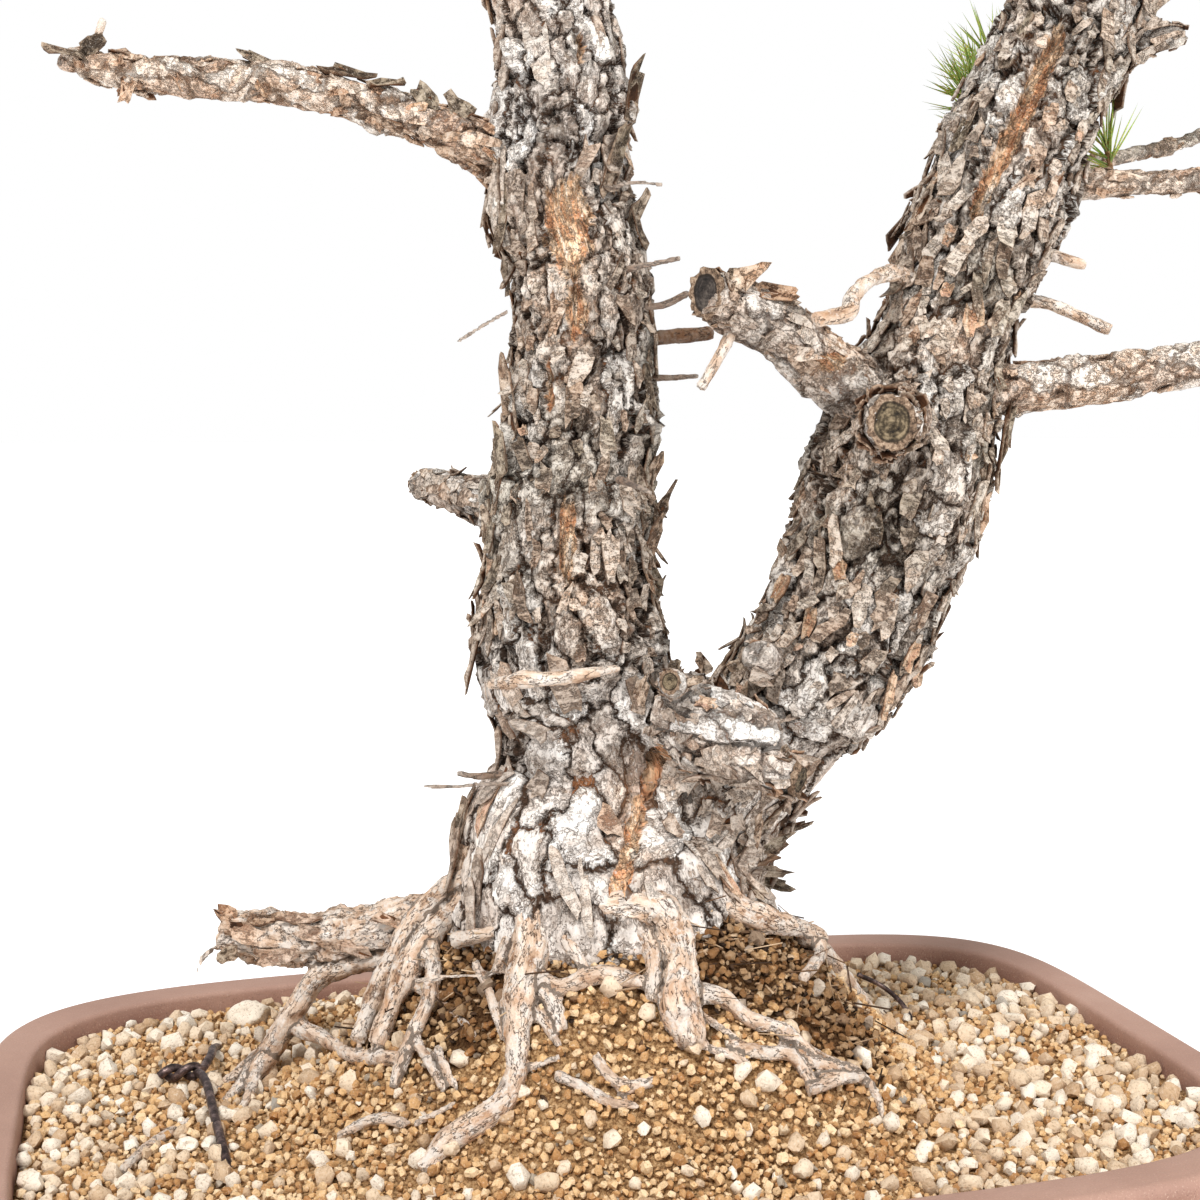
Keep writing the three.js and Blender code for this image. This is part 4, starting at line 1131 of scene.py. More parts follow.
def lay_scales(limb, cover, length, width, raised, rng):
    """Corners and stored numbers of the scales on one limb.

    cover is how many times over the bark is covered, length and width are ranges in millimetres,
    and raised is how far the liveliest scales stand off.
    """
    reach = limb.along[-1]
    mean_radius = np.interp(np.linspace(0, reach, 50), limb.along, limb.radius).mean()
    chip = np.mean(length) * np.mean(width) * 0.7 * MM**2
    count = int(cover * 2 * math.pi * mean_radius * reach / chip)
    number = np.arange(count)
    skin = (limb.radius[1:] + limb.radius[:-1]) * np.diff(limb.along)
    weight = np.concatenate([[0], np.cumsum(skin)])
    along = np.interp((number * SPREAD_ALONG + 0.5) % 1 * weight[-1], weight, limb.along)
    turn = (number * SPREAD_ROUND % 1) * 2 * math.pi + rng.normal(0, 0.08, count)
    along = along + rng.normal(0, 0.002, count)
    middle = limb.surface(along, turn, np.zeros(count))
    in_tree = tree_frame(middle)
    height = in_tree[:, 2]
    pale, warm, bare = moods(in_tree, np.full(count, limb.kind))
    shag = shaggy(in_tree)
    inside = wood_grove.depth(middle, skip=wood_limbs.index(limb))[0]
    kept = (inside < 0.002) & (bare < 0.25) & (along > 0) & (along < reach)
    if limb.kind == "trunk":
        wanted = np.where(pale > 0.6, 0.10, 0.36) + 0.9 * shag
        if limb.name == "right_trunk":
            wanted = wanted + 0.16 * (height > RIGHT_TRUNK_FROM)
        kept &= (height > SCALES_FROM) & (rng.random(count) < wanted)
    elif limb.name == "front_stub":
        kept &= along < reach - 0.004
    along, turn, pale, warm, shag = (row[kept] for row in (along, turn, pale, warm, shag))
    count = len(along)
    base = (pale > FULLY_PALE) & (limb.kind == "trunk")
    calm = base & (shag < 0.4)
    radius = np.interp(along, limb.along, limb.radius)[:, None]
    grown = np.where(calm, 1.35, 1.0)
    half_long = (length[0] + (length[1] - length[0]) * rng.random(count) ** 1.6) * grown * MM / 2
    half_wide = np.minimum(rng.uniform(*width, count) * grown * MM / 2, half_long * 0.8)
    skew = rng.normal(0, 0.32, count)
    taper = rng.uniform(-0.35, 0.35, count)

    angle = np.arange(SCALE_RING) * 2 * math.pi / SCALE_RING
    angle = angle + rng.uniform(-0.22, 0.22, (count, SCALE_RING))
    jag = rng.uniform(0.72, 1.16, (count, SCALE_RING))
    jag = np.where(rng.random((count, SCALE_RING)) < 0.2, jag * 0.65, jag)
    a = boxed(np.cos(angle)) * jag
    b = boxed(np.sin(angle)) * jag * (1 + taper[:, None] * np.cos(angle)) * 0.85
    a, b, edge, below = scale_rows(a, b, rng.uniform(0.45, 0.6, (count, SCALE_RING)))
    a_length, b_length = a * half_long[:, None], b * half_wide[:, None]

    free_end = np.where(rng.random(count) < 0.66, -1.0, 1.0)[:, None]
    liveliness = rng.random(count) + 0.22 * shag
    lively = np.where(liveliness > 0.95, 1.0, np.where(liveliness > 0.74, 0.4, 0.12))
    lively = lively * np.where(calm, 0.3, 1.0)
    lift = lively * rng.uniform(0.5, 1.0, count) * raised * MM
    lift = np.minimum(lift, half_long * 0.8)[:, None]
    free = np.clip(0.4 + 0.6 * a * free_end, 0, 1.4)
    sturdy = np.clip((radius - 0.003) / 0.02, 0.15, 1)
    layer = rng.uniform(0.6, 2.8, (count, 1)) * sturdy * MM
    curl = (rng.normal(0.3, 0.7, count) + 1.4 * lively * rng.normal(0, 1, count))[:, None] * MM
    flattened = 0.75 * b_length**2 / (2 * radius)
    crinkle = rng.normal(0, 0.22, a.shape) * MM
    thickness = (rng.uniform(0.5, 1.2, count) * np.where(base, 1.3, 1.0))[:, None] * MM
    rise = layer + lift * free**1.6 + curl * b**2 + flattened + crinkle - below * thickness

    cos, sin = np.cos(skew)[:, None], np.sin(skew)[:, None]
    s = along[:, None] + a_length * cos - b_length * sin
    t = turn[:, None] + (a_length * sin + b_length * cos) / radius
    corners = limb.surface(s, t, rise)
    number = rng.random((count, 1))
    straight = np.stack([b_length + number * 3, rise + number * 5, a_length + s], axis=-1)
    own = {"pale": pale, "warm": warm, "number": number, "bare": 0.6 * (rng.random(count) < 0.04)}
    return corners.reshape(-1, 3), scale_numbers(straight, edge, below, **own)


print("scales are laid on the trunks above", SCALES_FROM, "mm")

# %% [markdown]
# A limb in the list is a smooth bar, but the finished wood is carved and wavers, so some scales hover
# before it. Each scale is therefore brought down to the mesh itself: a search tree finds the point of
# the wood nearest to a corner, and tells on which side of the skin the corner is.

# %% Bringing the scales down to the wood
TOUCHING = 0.0004


def surface_of(pieces):
    """The skins of several pieces as one, to find the nearest point on."""
    corners, faces, start = [], [], 0
    for piece in pieces:
        corners.append(corners_of(piece))
        faces += [[start + corner for corner in face.vertices] for face in piece.data.polygons]
        start += len(piece.data.vertices)
    return BVHTree.FromPolygons(np.vstack(corners).tolist(), faces)


def settled(corners):
    """Moves every scale that hovers down to the wood, so that its nearest corner sinks in a little."""
    scales = corners.reshape(-1, SCALE_CORNERS, 3).copy()
    hovering = 0
    for scale in scales:
        nearest = None
        for corner in scale[1::3]:
            place, normal, _, gap = wood_surface.find_nearest(corner)
            way = np.array(place) - corner
            gap = math.copysign(gap, -way.dot(normal))
            if nearest is None or gap < nearest[0]:
                nearest = gap, way
        gap, way = nearest
        if gap > TOUCHING:
            hovering += 1
            scale += way * (1 + TOUCHING / gap)
    print("hovering scales brought down", hovering, "of", len(scales))
    return scales.reshape(-1, 3)


wood_surface = surface_of([*bark_pieces, exposed_roots])


def scale_piece(name, sets):
    """Sets of scales, each its corners and stored numbers, as one piece."""
    corners = settled(np.vstack([corners for corners, _ in sets]))
    count = len(corners) // SCALE_CORNERS
    faces = (SCALE_FACES[None] + np.arange(count)[:, None, None] * SCALE_CORNERS).reshape(-1, 3)
    piece = mesh_piece(name, corners, faces)
    for label in sets[0][1]:
        store(piece, label, np.concatenate([stored[label] for _, stored in sets]))
    crisp(piece, 38)
    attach(piece, "root")
    print(name, count, "scales", len(faces), "triangles")
    return piece


# %% [markdown]
# Where the outline of the tree depends on a single flake, leaving it to chance won't do. These flakes
# are listed one by one. A line gives a flake's middle, the way it points, the way it faces, its length and
# width, and its tone, which is a paleness and a warmth. The torn bark round each sawn end is a collar
# of such flakes.

# %% Flakes listed one by one
FACINGS = {
    "front": (0, -1, 0.2), "tilted": (0, -1, 0.6), "up": (0, -0.6, 1), "under": (0, -0.7, -1),
    "left": (-1, -0.7, 0), "right": (1, -0.7, 0),
}
TONES = {"dark": (-0.45, 0.15), "brown": (-0.35, 0.9), "tan": (0.6, 1.0), "pale": (1.1, 0.55)}
FLAKES = """
    -203 -3 496  -1 0 0.3  up  20 8  dark
    -195 -0.5 499  -0.7 0 -0.5  front  12 8  dark
    -166 0 493  1 0 0.15  up  14 6  tan
    -132 0 494  -1 0 0.55  front  17 5  dark
    -98.5 2 489.5  1 0 -0.2  up  24 8  brown
    -84 0 485  1 0 0.1  up  15 7  brown
    -70 2 480  -0.6 0 1  front  13 10  dark
    -57 4 477  -0.8 0 0.8  front  15 10  dark
    -181 -4 482  -0.3 0 -1  front  12 8  tan
    -84.5 0 470.5  1 0 -0.35  under  24 7  dark
    50 -46 410  1 0 0.6  front  17 10  brown
    62 -42 404  1 0 -0.1  tilted  17 8  brown
    114 14 424  0.5 0 1  left  24 7  dark
    110 8 418  0.5 0 1  left  14 6  dark
    117 -4 442  0.6 0 1  left  22 7  dark
    135.5 0 470.5  0.5 0 1  left  24 8  dark
    154 -2 500  0.5 0 1  left  22 8  dark
    150 -8 345  -0.15 0 -1  right  34 8  dark
    153 -6 356  -0.1 0 -1  right  26 7  dark
    143 -8 322  -0.3 0 -1  right  22 8  tan
    75 -6 317  -0.5 0 1  left  20 6  dark
    70 -6 305  -0.6 0 1  left  18 6  dark
    82 -8 330  -0.4 0 1  left  22 7  dark
    -41.5 2 433.5  -0.12 0 -1  left  28 8  dark
    -39.5 18 416  0.1 0 -1  left  20 8  dark
    -37.5 -0.5 368  -0.12 0 1  left  34 10  dark
    -42 -6 348  -0.1 0 1  left  26 9  dark
    -47.5 4 317.5  -0.2 0 1  left  26 10  dark
    8 -6 460  0.32 0 1  right  34 10  dark
    11.5 11 438.5  0.5 0 1  right  22 8  dark
    9 12 485  0.2 0 1  right  26 10  dark
    17 10.5 337.5  0.45 0 1  right  24 8  dark
    20.5 15.5 323.5  0.6 0 1  right  26 7  dark
    18 2 311.5  0.4 0 1  right  24 8  dark
    19.5 14 298  0.3 0 -1  right  18 8  dark
    16 2 372  0.15 0 -1  right  26 8  dark
    63.5 -6.5 193  1 0 0.45  front  22 6  dark
    62 0.5 181  1 0 -0.05  front  22 6  dark
    66 4 188  1 0 0.9  front  20 6  dark
    55 -13.5 178  0.8 0 -0.4  front  18 6  dark
    66 6 175  1 0 -0.35  front  18 6  dark
    51 -14 189.5  0.6 0 1  front  22 7  dark
    57 -16 201.5  0.3 0 1  front  18 7  dark
    74 3.5 197.5  1 0 0.3  front  16 4  dark
    58 -8.5 187  1 0 0.2  up  18 6  brown
    63 -12 203.5  0.7 0 0.7  right  16 6  dark
    -59.5 7.5 196.5  -0.25 0 -1  left  24 9  dark
    -58.5 -1 186  -0.35 0 -1  left  18 9  brown
    24 -28 265  0.5 0 1  front  10 6  dark
    38 8.5 262.5  -0.5 0 1  front  10 6  dark
    50 -28 268  0.9 0 0.5  front  12 6  dark
    12.5 -16 255  0.3 0 1  front  16 7  dark
    30 -34 262  1 0 0.2  up  12 6  dark
    45.5 6.5 258.5  0.2 0 1  front  9 5  brown
    -148 14 152  -1 0 0.3  front  18 9  pale
    -134 12 143  1 0 0.1  front  20 8  pale
    -118 9 152  1 0 -0.2  front  18 8  pale
    -101 5 148  -1 0 0.2  front  16 7  pale
    -154 16 142  -0.8 0 -0.6  front  12 8  brown
    -156 20 157  -0.7 0 0.7  up  11 8  tan
    -86 0 160  1 0 -0.3  up  14 6  pale
    -124 13 157.5  1 0 -0.1  up  20 8  pale
    -140 16 159  1 0 0.1  up  14 7  brown
    -110 12 140  1 0 -0.2  front  16 5  brown
"""
# the middle, the way out, the radius, how many flakes, how long they are
COLLARS = [
    ((98, -66, 358), (-0.16, -1, 0), 10.4, 8, 15), ((41, -39, 404), (-1, -1, 0.1), 9.4, 8, 13),
    ((65, -43, 229.5), (0.85, -0.5, -0.26), 7.4, 7, 11), ((101, -50, 358), (-0.16, -1, 0), 11.8, 9, 17),
]


def read_flake(line):
    """A line of the list as middle, pointing, facing, length, width and tone."""
    words = line.split()
    numbers = [float(word) for word in words[:6] + words[7:9]]
    return numbers[:3], numbers[3:6], FACINGS[words[6]], *numbers[6:], TONES[words[9]]


def collar(middle, outward, radius, count, length, rng):
    """Flakes all round a cut end, like the torn edge of its bark."""
    made = []
    forward = unit(np.array(outward, float))
    side = unit(np.cross(forward, (0, 0, 1)))
    up = np.cross(side, forward)
    for turn in np.arange(count) * 2 * math.pi / count + rng.uniform(-0.2, 0.2, count):
        cos, sin = math.cos(turn), math.sin(turn)
        out = side * cos + up * sin
        reach = radius * (1.1 * sin**2 + 0.9 * cos**2) + rng.uniform(-0.4, 0.6)
        place = np.array(middle) + out * reach + forward * rng.uniform(-3, 2)
        pointing = forward + out * rng.uniform(-0.05, 0.25)
        wide = rng.uniform(0.8, 1.3) * 2 * math.pi * radius / count
        tone = TONES[("brown", "dark", "tan")[rng.integers(0, 3)]]
        made.append((place, pointing, out, length * rng.uniform(0.7, 1.2), wide, tone))
    return made


def placed_flakes(flakes, rng):
    """Corners and stored numbers of the flakes in the list."""
    count = len(flakes)
    middle, pointing, facing, long, wide, tone = (np.array(row, float) for row in zip(*flakes))
    middle, pointing, facing = (planted(row) for row in (middle, pointing, facing))
    long, wide = (row[:, None] * MM / 2 for row in (long, wide))
    pale, warm = tone.T
    ahead = unit(pointing)
    across = unit(np.cross(facing, ahead))
    out = np.cross(ahead, across)
    angle = np.arange(SCALE_RING) * 2 * math.pi / SCALE_RING
    angle = angle + rng.uniform(-0.2, 0.2, (count, SCALE_RING))
    jag = np.where(rng.random(angle.shape) < 0.25, 0.66, rng.uniform(0.84, 1.16, angle.shape))
    a, b = boxed(np.cos(angle)) * jag, boxed(np.sin(angle)) * jag * (0.9 - 0.25 * np.cos(angle))
    a, b, edge, below = scale_rows(a, b, 0.55)
    cupped, bowed = rng.uniform(-0.1, 0.6, (count, 1)), rng.uniform(-0.05, 0.16, (count, 1))
    rise = cupped * wide * b**2 + bowed * long * a**2 + rng.normal(0, 0.5 * MM, a.shape)
    rise = rise - below * 0.9 * MM
    parts = ((a * long, ahead), (b * wide, across), (rise, out))
    corners = middle[:, None] + sum(size[..., None] * way[:, None] for size, way in parts)
    number = rng.uniform(0, 0.5, (count, 1))
    straight = np.stack([b * wide + number * 3, rise + number * 5, a * long], axis=-1)
    own = {"pale": pale, "warm": warm, "number": number, "bare": 0 * number}
    return corners.reshape(-1, 3), scale_numbers(straight, edge, below, **own)


flakes = [read_flake(line) for line in FLAKES.strip().splitlines()]
rng = np.random.default_rng(17)
for recipe in COLLARS:
    flakes += collar(*recipe, rng)
print("flakes placed by hand", len(flakes))

# %% [markdown]
# The scales make four pieces: those of each trunk, those of the branches, and the flakes in the list.
# Trunks are covered more than once over, dead wood thinly, and young branches hardly at all.

# %% All scales
# how many times over, lengths and widths in millimetres, how far the liveliest stand off
SCALES = {
    "trunk": (1.35, (6, 21), (3.4, 10), 9), "stub": (0.95, (5, 15), (3.4, 8), 6),
    "dead": (0.4, (5, 14), (2.5, 6), 4), "branch": (0.1, (5, 10), (2.5, 5), 2),
}
SCALED_SIDES = {
    "scales_left_trunk": left_side, "scales_right_trunk": right_side, "scales_branches": outer_side,
}
rng = np.random.default_rng(23)
scales = [
    scale_piece(name, [lay_scales(limb, *SCALES[limb.kind], rng) for limb in limbs])
    for name, limbs in SCALED_SIDES.items()
]
scales.append(scale_piece("scales_by_hand", [placed_flakes(flakes, rng)]))

# %% [markdown]
# A loose scale is darker below, where the sun never bleached it, and its broken edge is lighter and
# tan. Both come from the numbers stored at its corners.

# %% Finish of the scales
loose_scales, bench, shader = finish_for("loose bark scales", 0.86, 0.25)
straight = bench.attribute("straight", "Vector")
colour, height = bark_coat(bench, straight, bench.attribute("number"), bench.attribute("bare"))
edge = bench.attribute("edge")
worn = bench.plus(bench.noise(straight, 300.0, 3.0), 0.8, bench.times(edge, 0.6))
colour = bench.blend(bench.span(worn, 0.78, 1.1, 0.0, 0.35), colour, paint(204, 180, 156))
under = bench.ramp(bench.noise(straight, 160.0, 3.0), (0.35, 70, 50, 38), (0.65, 128, 88, 60))
colour = bench.blend(bench.attribute("below"), colour, under)
colour = bench.blend(1.0, colour, paint(240, 233, 226), "MULTIPLY")
dress(bench, shader, colour, height, 0.0012)
for piece in scales:
    piece.data.materials.append(loose_scales)
print("scale finish nodes", len(loose_scales.node_tree.nodes))

# %% [markdown]
# Where a branch was sawn off, the cut shows growth rings and a dark weathered heart. Each cut is a disc
# that is inset several times, so that its face can be a little hollow and its rim stand up. The rings
# are a wave that runs outwards from the pith, and a noise bends it, because no ring is a true circle.

# %% Sawn faces
# the middle, the way out, the radius, how black the heart is
CUTS = {
    "front_cut": ((97.7, -74.5, 358), (-5, -30, 0), 9.6, 0.1),
    "rising_cut": ((35.6, -44, 404), (-13, -12, 1), 9, 1.0),
    "base_cut": ((70, -47, 227.6), (13, -8, -4), 6.8, 0.35),
    "round_cut": ((22.6, -47.5, 263.6), (-3, -23, 5), 4.4, 0.2),
    "back_cut": ((-81, 77, 331), (-20, 16, 4), 5.2, 0.3),
}
CUT_SIDES = 40
CUT_INSETS = 7
NARROWED = 0.14

sawn_wood, bench, shader = finish_for("weathered sawn wood", 0.8, 0.25)
pith = bench.attribute("from_pith")
dark = bench.attribute("dark")
spot = bench.object_place()
wobble = bench.times(bench.noise(spot, 160.0, 3.0), 0.34)
rings = bench.sum("SINE", bench.times(bench.sum("ADD", pith, wobble), 44.0))
tone = bench.plus(rings, 0.03, bench.noise(spot, 260.0, 5.0, 0.7))
heart = bench.ramp(tone, (0.36, 28, 22, 16), (0.50, 82, 70, 52), (0.64, 150, 132, 104))
black = bench.ramp(tone, (0.30, 24, 21, 20), (0.50, 58, 51, 47), (0.70, 104, 94, 86))
face = bench.blend(dark, heart, black)
outward = bench.plus(wobble, 0.9, pith)
groove = bench.soft(bench.gap(outward, 0.86), 0.07, 0.02, 0.0, 0.8)
rim = bench.span(outward, 0.87, 0.94)
bark_tone = bench.noise(spot, 520.0, 4.0, 0.75)
bark_rim = bench.ramp(bark_tone, (0.36, 54, 42, 33), (0.50, 128, 104, 84), (0.66, 190, 166, 142))
colour = bench.blend(groove, bench.blend(rim, face, bark_rim), paint(40, 30, 22))
dress(bench, shader, colour, tone, 0.0009)


def named(name):
    """The piece just added, with its name."""
    piece = bpy.context.object
    piece.name = name
    piece.data.name = name
    return piece


def mark(piece, kind, wanted):
    """Selects the wanted faces or edges of a piece, and goes to edit mode."""
    bpy.ops.object.mode_set(mode="EDIT")
    bpy.ops.mesh.select_mode(type=kind)
    bpy.ops.mesh.select_all(action="DESELECT")
    bpy.ops.object.mode_set(mode="OBJECT")
    for part in piece.data.polygons if kind == "FACE" else piece.data.edges:
        part.select = bool(wanted(part))
    bpy.ops.object.mode_set(mode="EDIT")


def sawn_face(name, middle, outward, radius, darkness, rng):
    """A slightly hollow disc across the end of a stub."""
    middle, toward = planted(middle), unit(planted(outward))
    tilt = math.acos(toward[2])
    bpy.ops.mesh.primitive_cylinder_add(
        vertices=CUT_SIDES, radius=radius * MM, depth=3 * MM, location=middle,
        rotation=(0, tilt, math.atan2(toward[1], toward[0])),
    )
    piece = named(name)
    bpy.ops.object.transform_apply(location=True, rotation=True, scale=True)
    mark(piece, "FACE", lambda face: np.dot(face.normal, toward) > 0.9)
    for step in range(CUT_INSETS):
        bpy.ops.mesh.inset(thickness=radius * MM * 0.12, depth=-0.18 * MM if step < 3 else 0.04 * MM)
    bpy.ops.object.mode_set(mode="OBJECT")
    corners = corners_of(piece)
    flat = corners - middle - np.outer((corners - middle) @ toward, toward)
    away = np.linalg.norm(flat, axis=1) / (radius * MM)
    store(piece, "from_pith", away)
    store(piece, "dark", np.full(len(away), darkness))
    ragged = corners + np.outer(rng.normal(0, 0.16 * MM, len(corners)), toward)
    on_rim = (away > 0.9)[:, None]
    ragged += unit(flat) * rng.normal(0, 0.055 * radius * MM, (len(corners), 1)) * on_rim
    ragged += np.outer(rng.normal(0, 0.05 * radius * MM, len(corners)), toward) * on_rim
    level = unit(np.cross(toward, (0, 0, 1)))
    ragged -= np.outer((ragged - middle) @ level, level) * NARROWED
    set_corners(piece, ragged)
    piece.data.materials.append(sawn_wood)
    crisp(piece, 40)
    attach(piece, "root")


rng = np.random.default_rng(5)
for name, recipe in CUTS.items():
    sawn_face(name, *recipe, rng)
print("sawn faces", len(CUTS))

# %% [markdown]
# A scots pine carries its needles in pairs, bunched towards the tips of its shoots. One needle is
# modelled: a cone with three sides, cut once across the middle and bellied there. It is then copied
# along every shoot of a pad, turned, scaled and leaning outwards, and all copies of a pad are one
# piece. The shoots are thin three-sided rods.

# %% One needle
BELLY = (0, 0, 0.55)


def shape_of(piece):
    """Corners and triangles of a piece in edit mode, after which the piece is taken away."""
    bpy.ops.mesh.select_all(action="SELECT")
    bpy.ops.mesh.quads_convert_to_tris()
    bpy.ops.object.mode_set(mode="OBJECT")
    corners = corners_of(piece)
    faces = np.array([list(face.vertices) for face in piece.data.polygons])
    bpy.data.objects.remove(piece)
    return corners, faces


bpy.ops.mesh.primitive_cone_add(vertices=3, radius1=0.5, radius2=0.0, depth=1.0, location=(0, 0, 0.5))
bpy.ops.object.transform_apply(location=True, rotation=True, scale=True)
bpy.ops.object.mode_set(mode="EDIT")
bpy.ops.mesh.select_all(action="SELECT")
bpy.ops.mesh.bisect(plane_co=BELLY, plane_no=(0, 0, 1))
bpy.ops.transform.resize(value=(1.9, 1.9, 1), center_override=BELLY)
needle_shape = shape_of(bpy.context.object)
print("one needle", len(needle_shape[0]), "corners", len(needle_shape[1]), "triangles")

# %% [markdown]
# Copies of a small shape are set out by their place, their three directions and their size. Doing this
# for all copies at once, as arrays, keeps thousands of them quick.

# %% Setting out copies
def copies(shape, places, axes):
    """Many copies of one shape. axes holds, for each copy, its three directions with their lengths."""
    corners, faces = shape
    moved = np.einsum("vi,nij->nvj", corners, axes) + places[:, None]
    numbered = faces[None] + np.arange(len(places))[:, None, None] * len(corners)
    return moved.reshape(-1, 3), numbered.reshape(-1, 3)


def gathered(parts):
    """Several sets of corners and faces as one."""
    corners, faces, start = [], [], 0
    for some, their_faces in parts:
        corners.append(some)
        faces.append(their_faces + start)
        start += len(some)
    return np.vstack(corners), np.vstack(faces)


def directions(forward, rng):
    """For each forward direction two more, square to it and turned at random."""
    other = unit(np.cross(forward, rng.normal(size=forward.shape)))
    return other, np.cross(forward, other)


def arranged(sides, sizes):
    """The three directions of each copy, each made as long as the copy is that way."""
    return np.stack([side * size for side, size in zip(sides, sizes)], axis=1)


bpy.ops.mesh.primitive_cylinder_add(vertices=4, radius=1, depth=1, location=(0, 0, 0.5))
bpy.ops.object.transform_apply(location=True, rotation=True, scale=True)
bpy.ops.object.mode_set(mode="EDIT")
rod_shape = shape_of(bpy.context.object)
print("one rod", len(rod_shape[1]), "triangles")

# %% [markdown]
# A pad is what a branch carries at its end, a low dome of shoots that all reach for the light. Their
# tips are spread over the dome as seeds are in a sunflower, with no gaps and no rows. Every shoot is a
# thin rod from the branch's end, and its needles stand out at its foot and lie closer at its tip.

# %% Pads of foliage
# the middle of each pad and half its size in X, Y and Z
PADS = {
    "left": [
        ((-192, -12, 611), (75, 60, 27)), ((64, -60, 670), (66, 55, 24)), ((-92, 122, 651), (70, 59, 24)),
        ((72, 90, 709), (62, 56, 23)), ((-108, -54, 707), (62, 54, 23)), ((52, -3, 746), (47, 44, 19)),
        ((-46, 22, 777), (45, 43, 19)), ((2, 10, 824), (50, 47, 25)), ((0, 142, 603), (72, 60, 24)),
    ],
    "right": [
        ((352, -12, 417), (70, 58, 24)), ((303, 22, 482), (50, 43, 19)), ((299, 92, 509), (44, 40, 16)),
        ((174, 100, 512), (34, 32, 13)), ((118, -10, 615), (60, 50, 22)), ((328, 0, 641), (66, 58, 24)),
        ((230, 108, 661), (62, 56, 23)), ((214, -70, 676), (60, 52, 22)), ((252, 10, 744), (54, 50, 25)),
    ],
}
# two young tufts on the right trunk, with how many shoots each has
TUFTS = [((158, 84, 496), (16, 15, 15), 11), ((196, 26, 468), (9, 9, 7), 1)]
NEEDLE_LENGTH = (17, 27)
NEEDLE_WIDTH = 0.85
SHOOT_LENGTH = 15
SHOOTS_PER_AREA = 0.55 / 290
PAIRS_PER_SHOOT = 17
SUNFLOWER_TURN = math.pi * (3 - math.sqrt(5))
CAD_HALF_REACH = 6


def foliage(name, node, middle, halves, rng, count=None):
    """One pad: shoots fanned out from the branch's end, each with its pairs of needles."""
    middle, halves = np.array(middle, float), np.array(halves, float)
    count = count or int(halves[0] * halves[1] * math.pi * SHOOTS_PER_AREA)
    number = np.arange(count) + 0.5
    out = np.sqrt(number / count) * 0.80
    turn = number * SUNFLOWER_TURN
    flat = np.stack([out * np.cos(turn), out * np.sin(turn)], axis=1)
    dome = np.sqrt(np.maximum(0, 1 - out**2))
    tip = np.empty((count, 3))
    tip[:, :2] = flat * (halves[:2] - CAD_HALF_REACH)
    tip[:, 2] = (dome * rng.uniform(-0.1, 0.55, count) - 0.1) * halves[2]
    lean = unit(np.column_stack([flat * 1.1, 0.35 + 0.6 * dome]) + rng.normal(0, 0.16, (count, 3)))
    shoot = lean * SHOOT_LENGTH * rng.uniform(0.8, 1.15, (count, 1))
    foot = tip - shoot
    start = 0 * foot + (0, 0, -halves[2] * 0.35)
    parts = []
    for low, high, thick in ((start, foot, 0.95), (foot, tip, 0.8)):
        low, high = planted(low + middle), planted(high + middle)
        forward = unit(high - low)
        length = np.linalg.norm(high - low, axis=1)[:, None]
        axes = arranged((*directions(forward, rng), forward), (thick * MM, thick * MM, length))
        parts.append(copies(rod_shape, low, axes))
    rods = gathered(parts)

    foot, shoot, heading = (np.repeat(row, PAIRS_PER_SHOOT, axis=0) for row in (foot, shoot, lean))
    step = np.tile(np.linspace(0.1, 1.0, PAIRS_PER_SHOOT), count)
    place = planted(foot + shoot * step[:, None] + middle)
    one, other = directions(heading, rng)
    spread = np.interp(step, (0, 1), (1.15, 0.35)) + rng.normal(0, 0.12, len(step))
    forward = heading * np.cos(spread)[:, None] + one * np.sin(spread)[:, None]
    sets = []
    for side in (-1, 1):
        each = unit(forward + other * side * 0.10 + rng.normal(0, 0.05, forward.shape))
        length = rng.uniform(*NEEDLE_LENGTH, (len(each), 1)) * MM
        ahead = unit(planted(each / MM))
        width = NEEDLE_WIDTH * MM
        axes = arranged((*directions(ahead, rng), ahead), (width, width, length))
        sets.append(copies(needle_shape, place, axes))
    corners, faces = gathered([rods, *sets])
    piece = mesh_piece(name, corners, faces)
    piece.data.materials.append(shoot_bark)
    piece.data.materials.append(needle_green)
    is_needle = np.arange(len(faces)) >= len(rods[1])
    piece.data.polygons.foreach_set("material_index", is_needle.astype(np.int32))
    rod_zeros = np.zeros(len(rods[0]))
    heights = np.tile(needle_shape[0][:, 2], 2 * len(place))
    store(piece, "along_needle", np.concatenate([rod_zeros, heights]))
    own = np.repeat(rng.random(2 * len(place)), len(needle_shape[0]))
    store(piece, "number", np.concatenate([rod_zeros, own]))
    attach(piece, "root")
    if node:
        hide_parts(node)
    return len(faces)


needle_green, bench, shader = finish_for("pine needle", 0.5, 0.35)
shader.inputs["Subsurface Weight"].default_value = 0.3
shader.inputs["Subsurface Scale"].default_value = 0.003
number = bench.attribute("number")
fresh = bench.ramp(
    number, (0.0, 96, 132, 50), (0.35, 136, 170, 68), (0.7, 174, 200, 98),
    (0.97, 210, 226, 144), (1.0, 220, 196, 128),
)
foot = bench.span(bench.attribute("along_needle"), 0.0, 0.25, 0.55, 0.0)
colour = bench.blend(foot, fresh, paint(150, 156, 104))
dress(bench, shader, colour, bench.noise(bench.object_place(), 2600.0, 2.0), 0.0001)

shoot_bark, bench, shader = finish_for("young shoot", 0.75, 0.3)
tone = bench.noise(bench.object_place(), 700.0, 4.0, 0.7)
colour = bench.ramp(tone, (0.3, 104, 72, 48), (0.5, 168, 128, 88), (0.7, 204, 172, 132))
dress(bench, shader, colour, tone, 0.0005)

